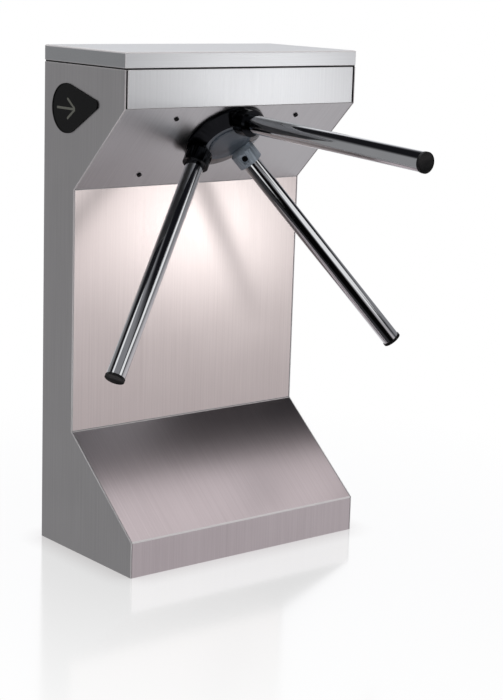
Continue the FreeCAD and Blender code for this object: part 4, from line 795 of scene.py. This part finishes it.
def make_world():
    """A white backdrop for the camera, soft light for dull surfaces, the studio's walls for polish."""
    world = bpy.data.worlds.new("studio")
    bpy.context.scene.world = world
    world.use_nodes = True
    tree = world.node_tree
    background = tree.nodes["Background"]
    way = add_node(tree, "ShaderNodeTexCoord", {}, {}).outputs["Generated"]
    colour = add_node(tree, "ShaderNodeRGB", {}, {}).outputs["Color"]
    colour.default_value = linear(STUDIO_GREY)
    for label, direction, full, gone, paint in STUDIO_WALLS:
        middle = Vector(direction).normalized()
        facing = add_node(tree, "ShaderNodeVectorMath", {"operation": "DOT_PRODUCT", 1: middle}, {0: way})
        share = add_node(tree, "ShaderNodeMapRange", {
            "interpolation_type": "SMOOTHSTEP", "label": label,
            "From Min": math.cos(math.radians(gone)), "From Max": math.cos(math.radians(full)),
        }, {"Value": facing.outputs["Value"]})
        wall = add_node(tree, "ShaderNodeMix", {"data_type": "RGBA", 7: linear(paint)},
                        {0: share.outputs["Result"], 6: colour})
        colour = wall.outputs[2]
    path = add_node(tree, "ShaderNodeLightPath", {}, {})
    dull = add_node(tree, "ShaderNodeMix", {"data_type": "RGBA", 7: linear(SOFT_LIGHT)},
                    {0: path.outputs["Is Diffuse Ray"], 6: colour})
    seen = add_node(tree, "ShaderNodeMix", {"data_type": "RGBA", 7: WHITE},
                    {0: path.outputs["Is Camera Ray"], 6: dull.outputs[2]})
    tree.links.new(seen.outputs[2], background.inputs["Color"])


# The floor mirrors the object's base by a share that fades out with the distance from it.
MIRROR_SHARE = 0.34
MIRROR_NEAR = 200 * MM
MIRROR_FAR = 1150 * MM
CONTACT_REACH = 60 * MM


def make_floor():
    """A white floor with a weak mirror of the object that fades away from its base, and a contact shadow."""
    deselect()
    bpy.ops.mesh.primitive_plane_add(size=24)
    floor = bpy.context.object
    floor.name = "floor"
    material = bpy.data.materials.new("white_floor")
    material.use_nodes = True
    tree = material.node_tree
    tree.nodes.clear()
    place = add_node(tree, "ShaderNodeTexCoord", {}, {}).outputs["Object"]
    distance = add_node(tree, "ShaderNodeVectorMath", {"operation": "LENGTH"}, {0: place})
    mirror_share = add_node(tree, "ShaderNodeMapRange", {
        "From Min": MIRROR_NEAR, "From Max": MIRROR_FAR, "To Min": MIRROR_SHARE, "To Max": 0.0,
    }, {"Value": distance.outputs["Value"]})
    contact = add_node(tree, "ShaderNodeAmbientOcclusion", {"Distance": CONTACT_REACH, "samples": 8}, {})
    shade = add_node(tree, "ShaderNodeMix", {"data_type": "RGBA", 6: linear("#c9c4c4"), 7: WHITE},
                     {0: contact.outputs["AO"]})
    glow = add_node(tree, "ShaderNodeEmission", {"Strength": 1.0}, {"Color": shade.outputs[2]})
    mirror = add_node(tree, "ShaderNodeBsdfGlossy", {"Color": WHITE, "Roughness": 0.12}, {})
    shown = add_node(tree, "ShaderNodeMixShader", {},
                     {0: mirror_share.outputs["Result"], 1: glow.outputs[0], 2: mirror.outputs[0]})
    bounce = add_node(tree, "ShaderNodeBsdfDiffuse", {"Color": linear("#e4e2e2")}, {})
    path = add_node(tree, "ShaderNodeLightPath", {}, {})
    surface = add_node(tree, "ShaderNodeMixShader", {},
                       {0: path.outputs["Is Camera Ray"], 1: bounce.outputs[0], 2: shown.outputs[0]})
    output = add_node(tree, "ShaderNodeOutputMaterial", {}, {"Surface": surface.outputs[0]})
    output.is_active_output = True
    floor.data.materials.append(material)
    floor.visible_glossy = False


def soft_box(name, place, turn, size, power, tint, lit, shaded=True):
    """A soft lamp of a width and a height at a place, turned by degrees about X, Y and Z from facing down.
    It is flagged off everything but the pieces that it is to light, and the rotor shades them or doesn't."""
    lamp = bpy.data.lights.new(name, "AREA")
    lamp.shape = "RECTANGLE"
    lamp.size, lamp.size_y = size
    lamp.energy = power
    lamp.color = linear(tint)[:3]
    holder = bpy.data.objects.new(name, lamp)
    bpy.context.scene.collection.objects.link(holder)
    holder.location = place
    holder.rotation_euler = [math.radians(angle) for angle in turn]
    holder.visible_camera = False
    flagged = bpy.data.collections.new(f"{name}_lit")
    for piece in lit:
        flagged.objects.link(bpy.data.objects[piece])
    holder.light_linking.receiver_collection = flagged
    if not shaded:
        holder.light_linking.blocker_collection = flagged


make_camera()
make_world()
make_floor()

# Lamps: a place, a turn, a width and height, watts, a tint and the pieces that each lights
COLUMN = ["column_panel_finished"]
PLINTH = ["plinth_cover_finished"]
HEAD = ["front_band_finished", "lid_finished"]
FRONT = COLUMN + PLINTH + HEAD
SHOWN = COLUMN + PLINTH + [
    "front_band_finished", "mechanism_panel_finished", "left_side_plate_finished",
    "right_side_plate_finished", "panel_screws_finished", "hub_finished", "hub_cap_finished",
    "arm_set_screws_finished", "front_tube", "left_tube", "right_tube",
]
INSIDE = [piece.name for piece in bpy.data.objects if piece.get("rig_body") and piece.name not in SHOWN]
DOWN = (0, 0, 0)
FROM_RIGHT = (90, 0, 40)
FROM_LEFT = (90, 0, -35)
soft_box("column_glow", (0.99, -1.2, 0.4), FROM_RIGHT, (0.26, 0.25), 0.95, "#fffdfa", COLUMN, shaded=False)
soft_box("column_fill", (0.5, -1.25, 0.55), FROM_RIGHT, (0.9, 0.5), 0.8, "#fff8f6", COLUMN, shaded=False)
soft_box("head_glow", (0.96, -1.25, 0.82), FROM_RIGHT, (0.46, 0.3), 0.85, "#ffffff", HEAD)
soft_box("ceiling_light", (0, 0.2, 2.6), DOWN, (3.0, 3.0), 24, "#ffffff", INSIDE)
soft_box("front_light", (-1.15, -1.64, -0.1), FROM_LEFT, (3.0, 2.2), 9, "#fffaf9", FRONT, shaded=False)
soft_box("plinth_light", (0.2, -0.225, 0.45), DOWN, (0.9, 0.25), 0.62, "#fff6f6", PLINTH, shaded=False)

bpy.context.scene.view_settings.view_transform = "Standard"
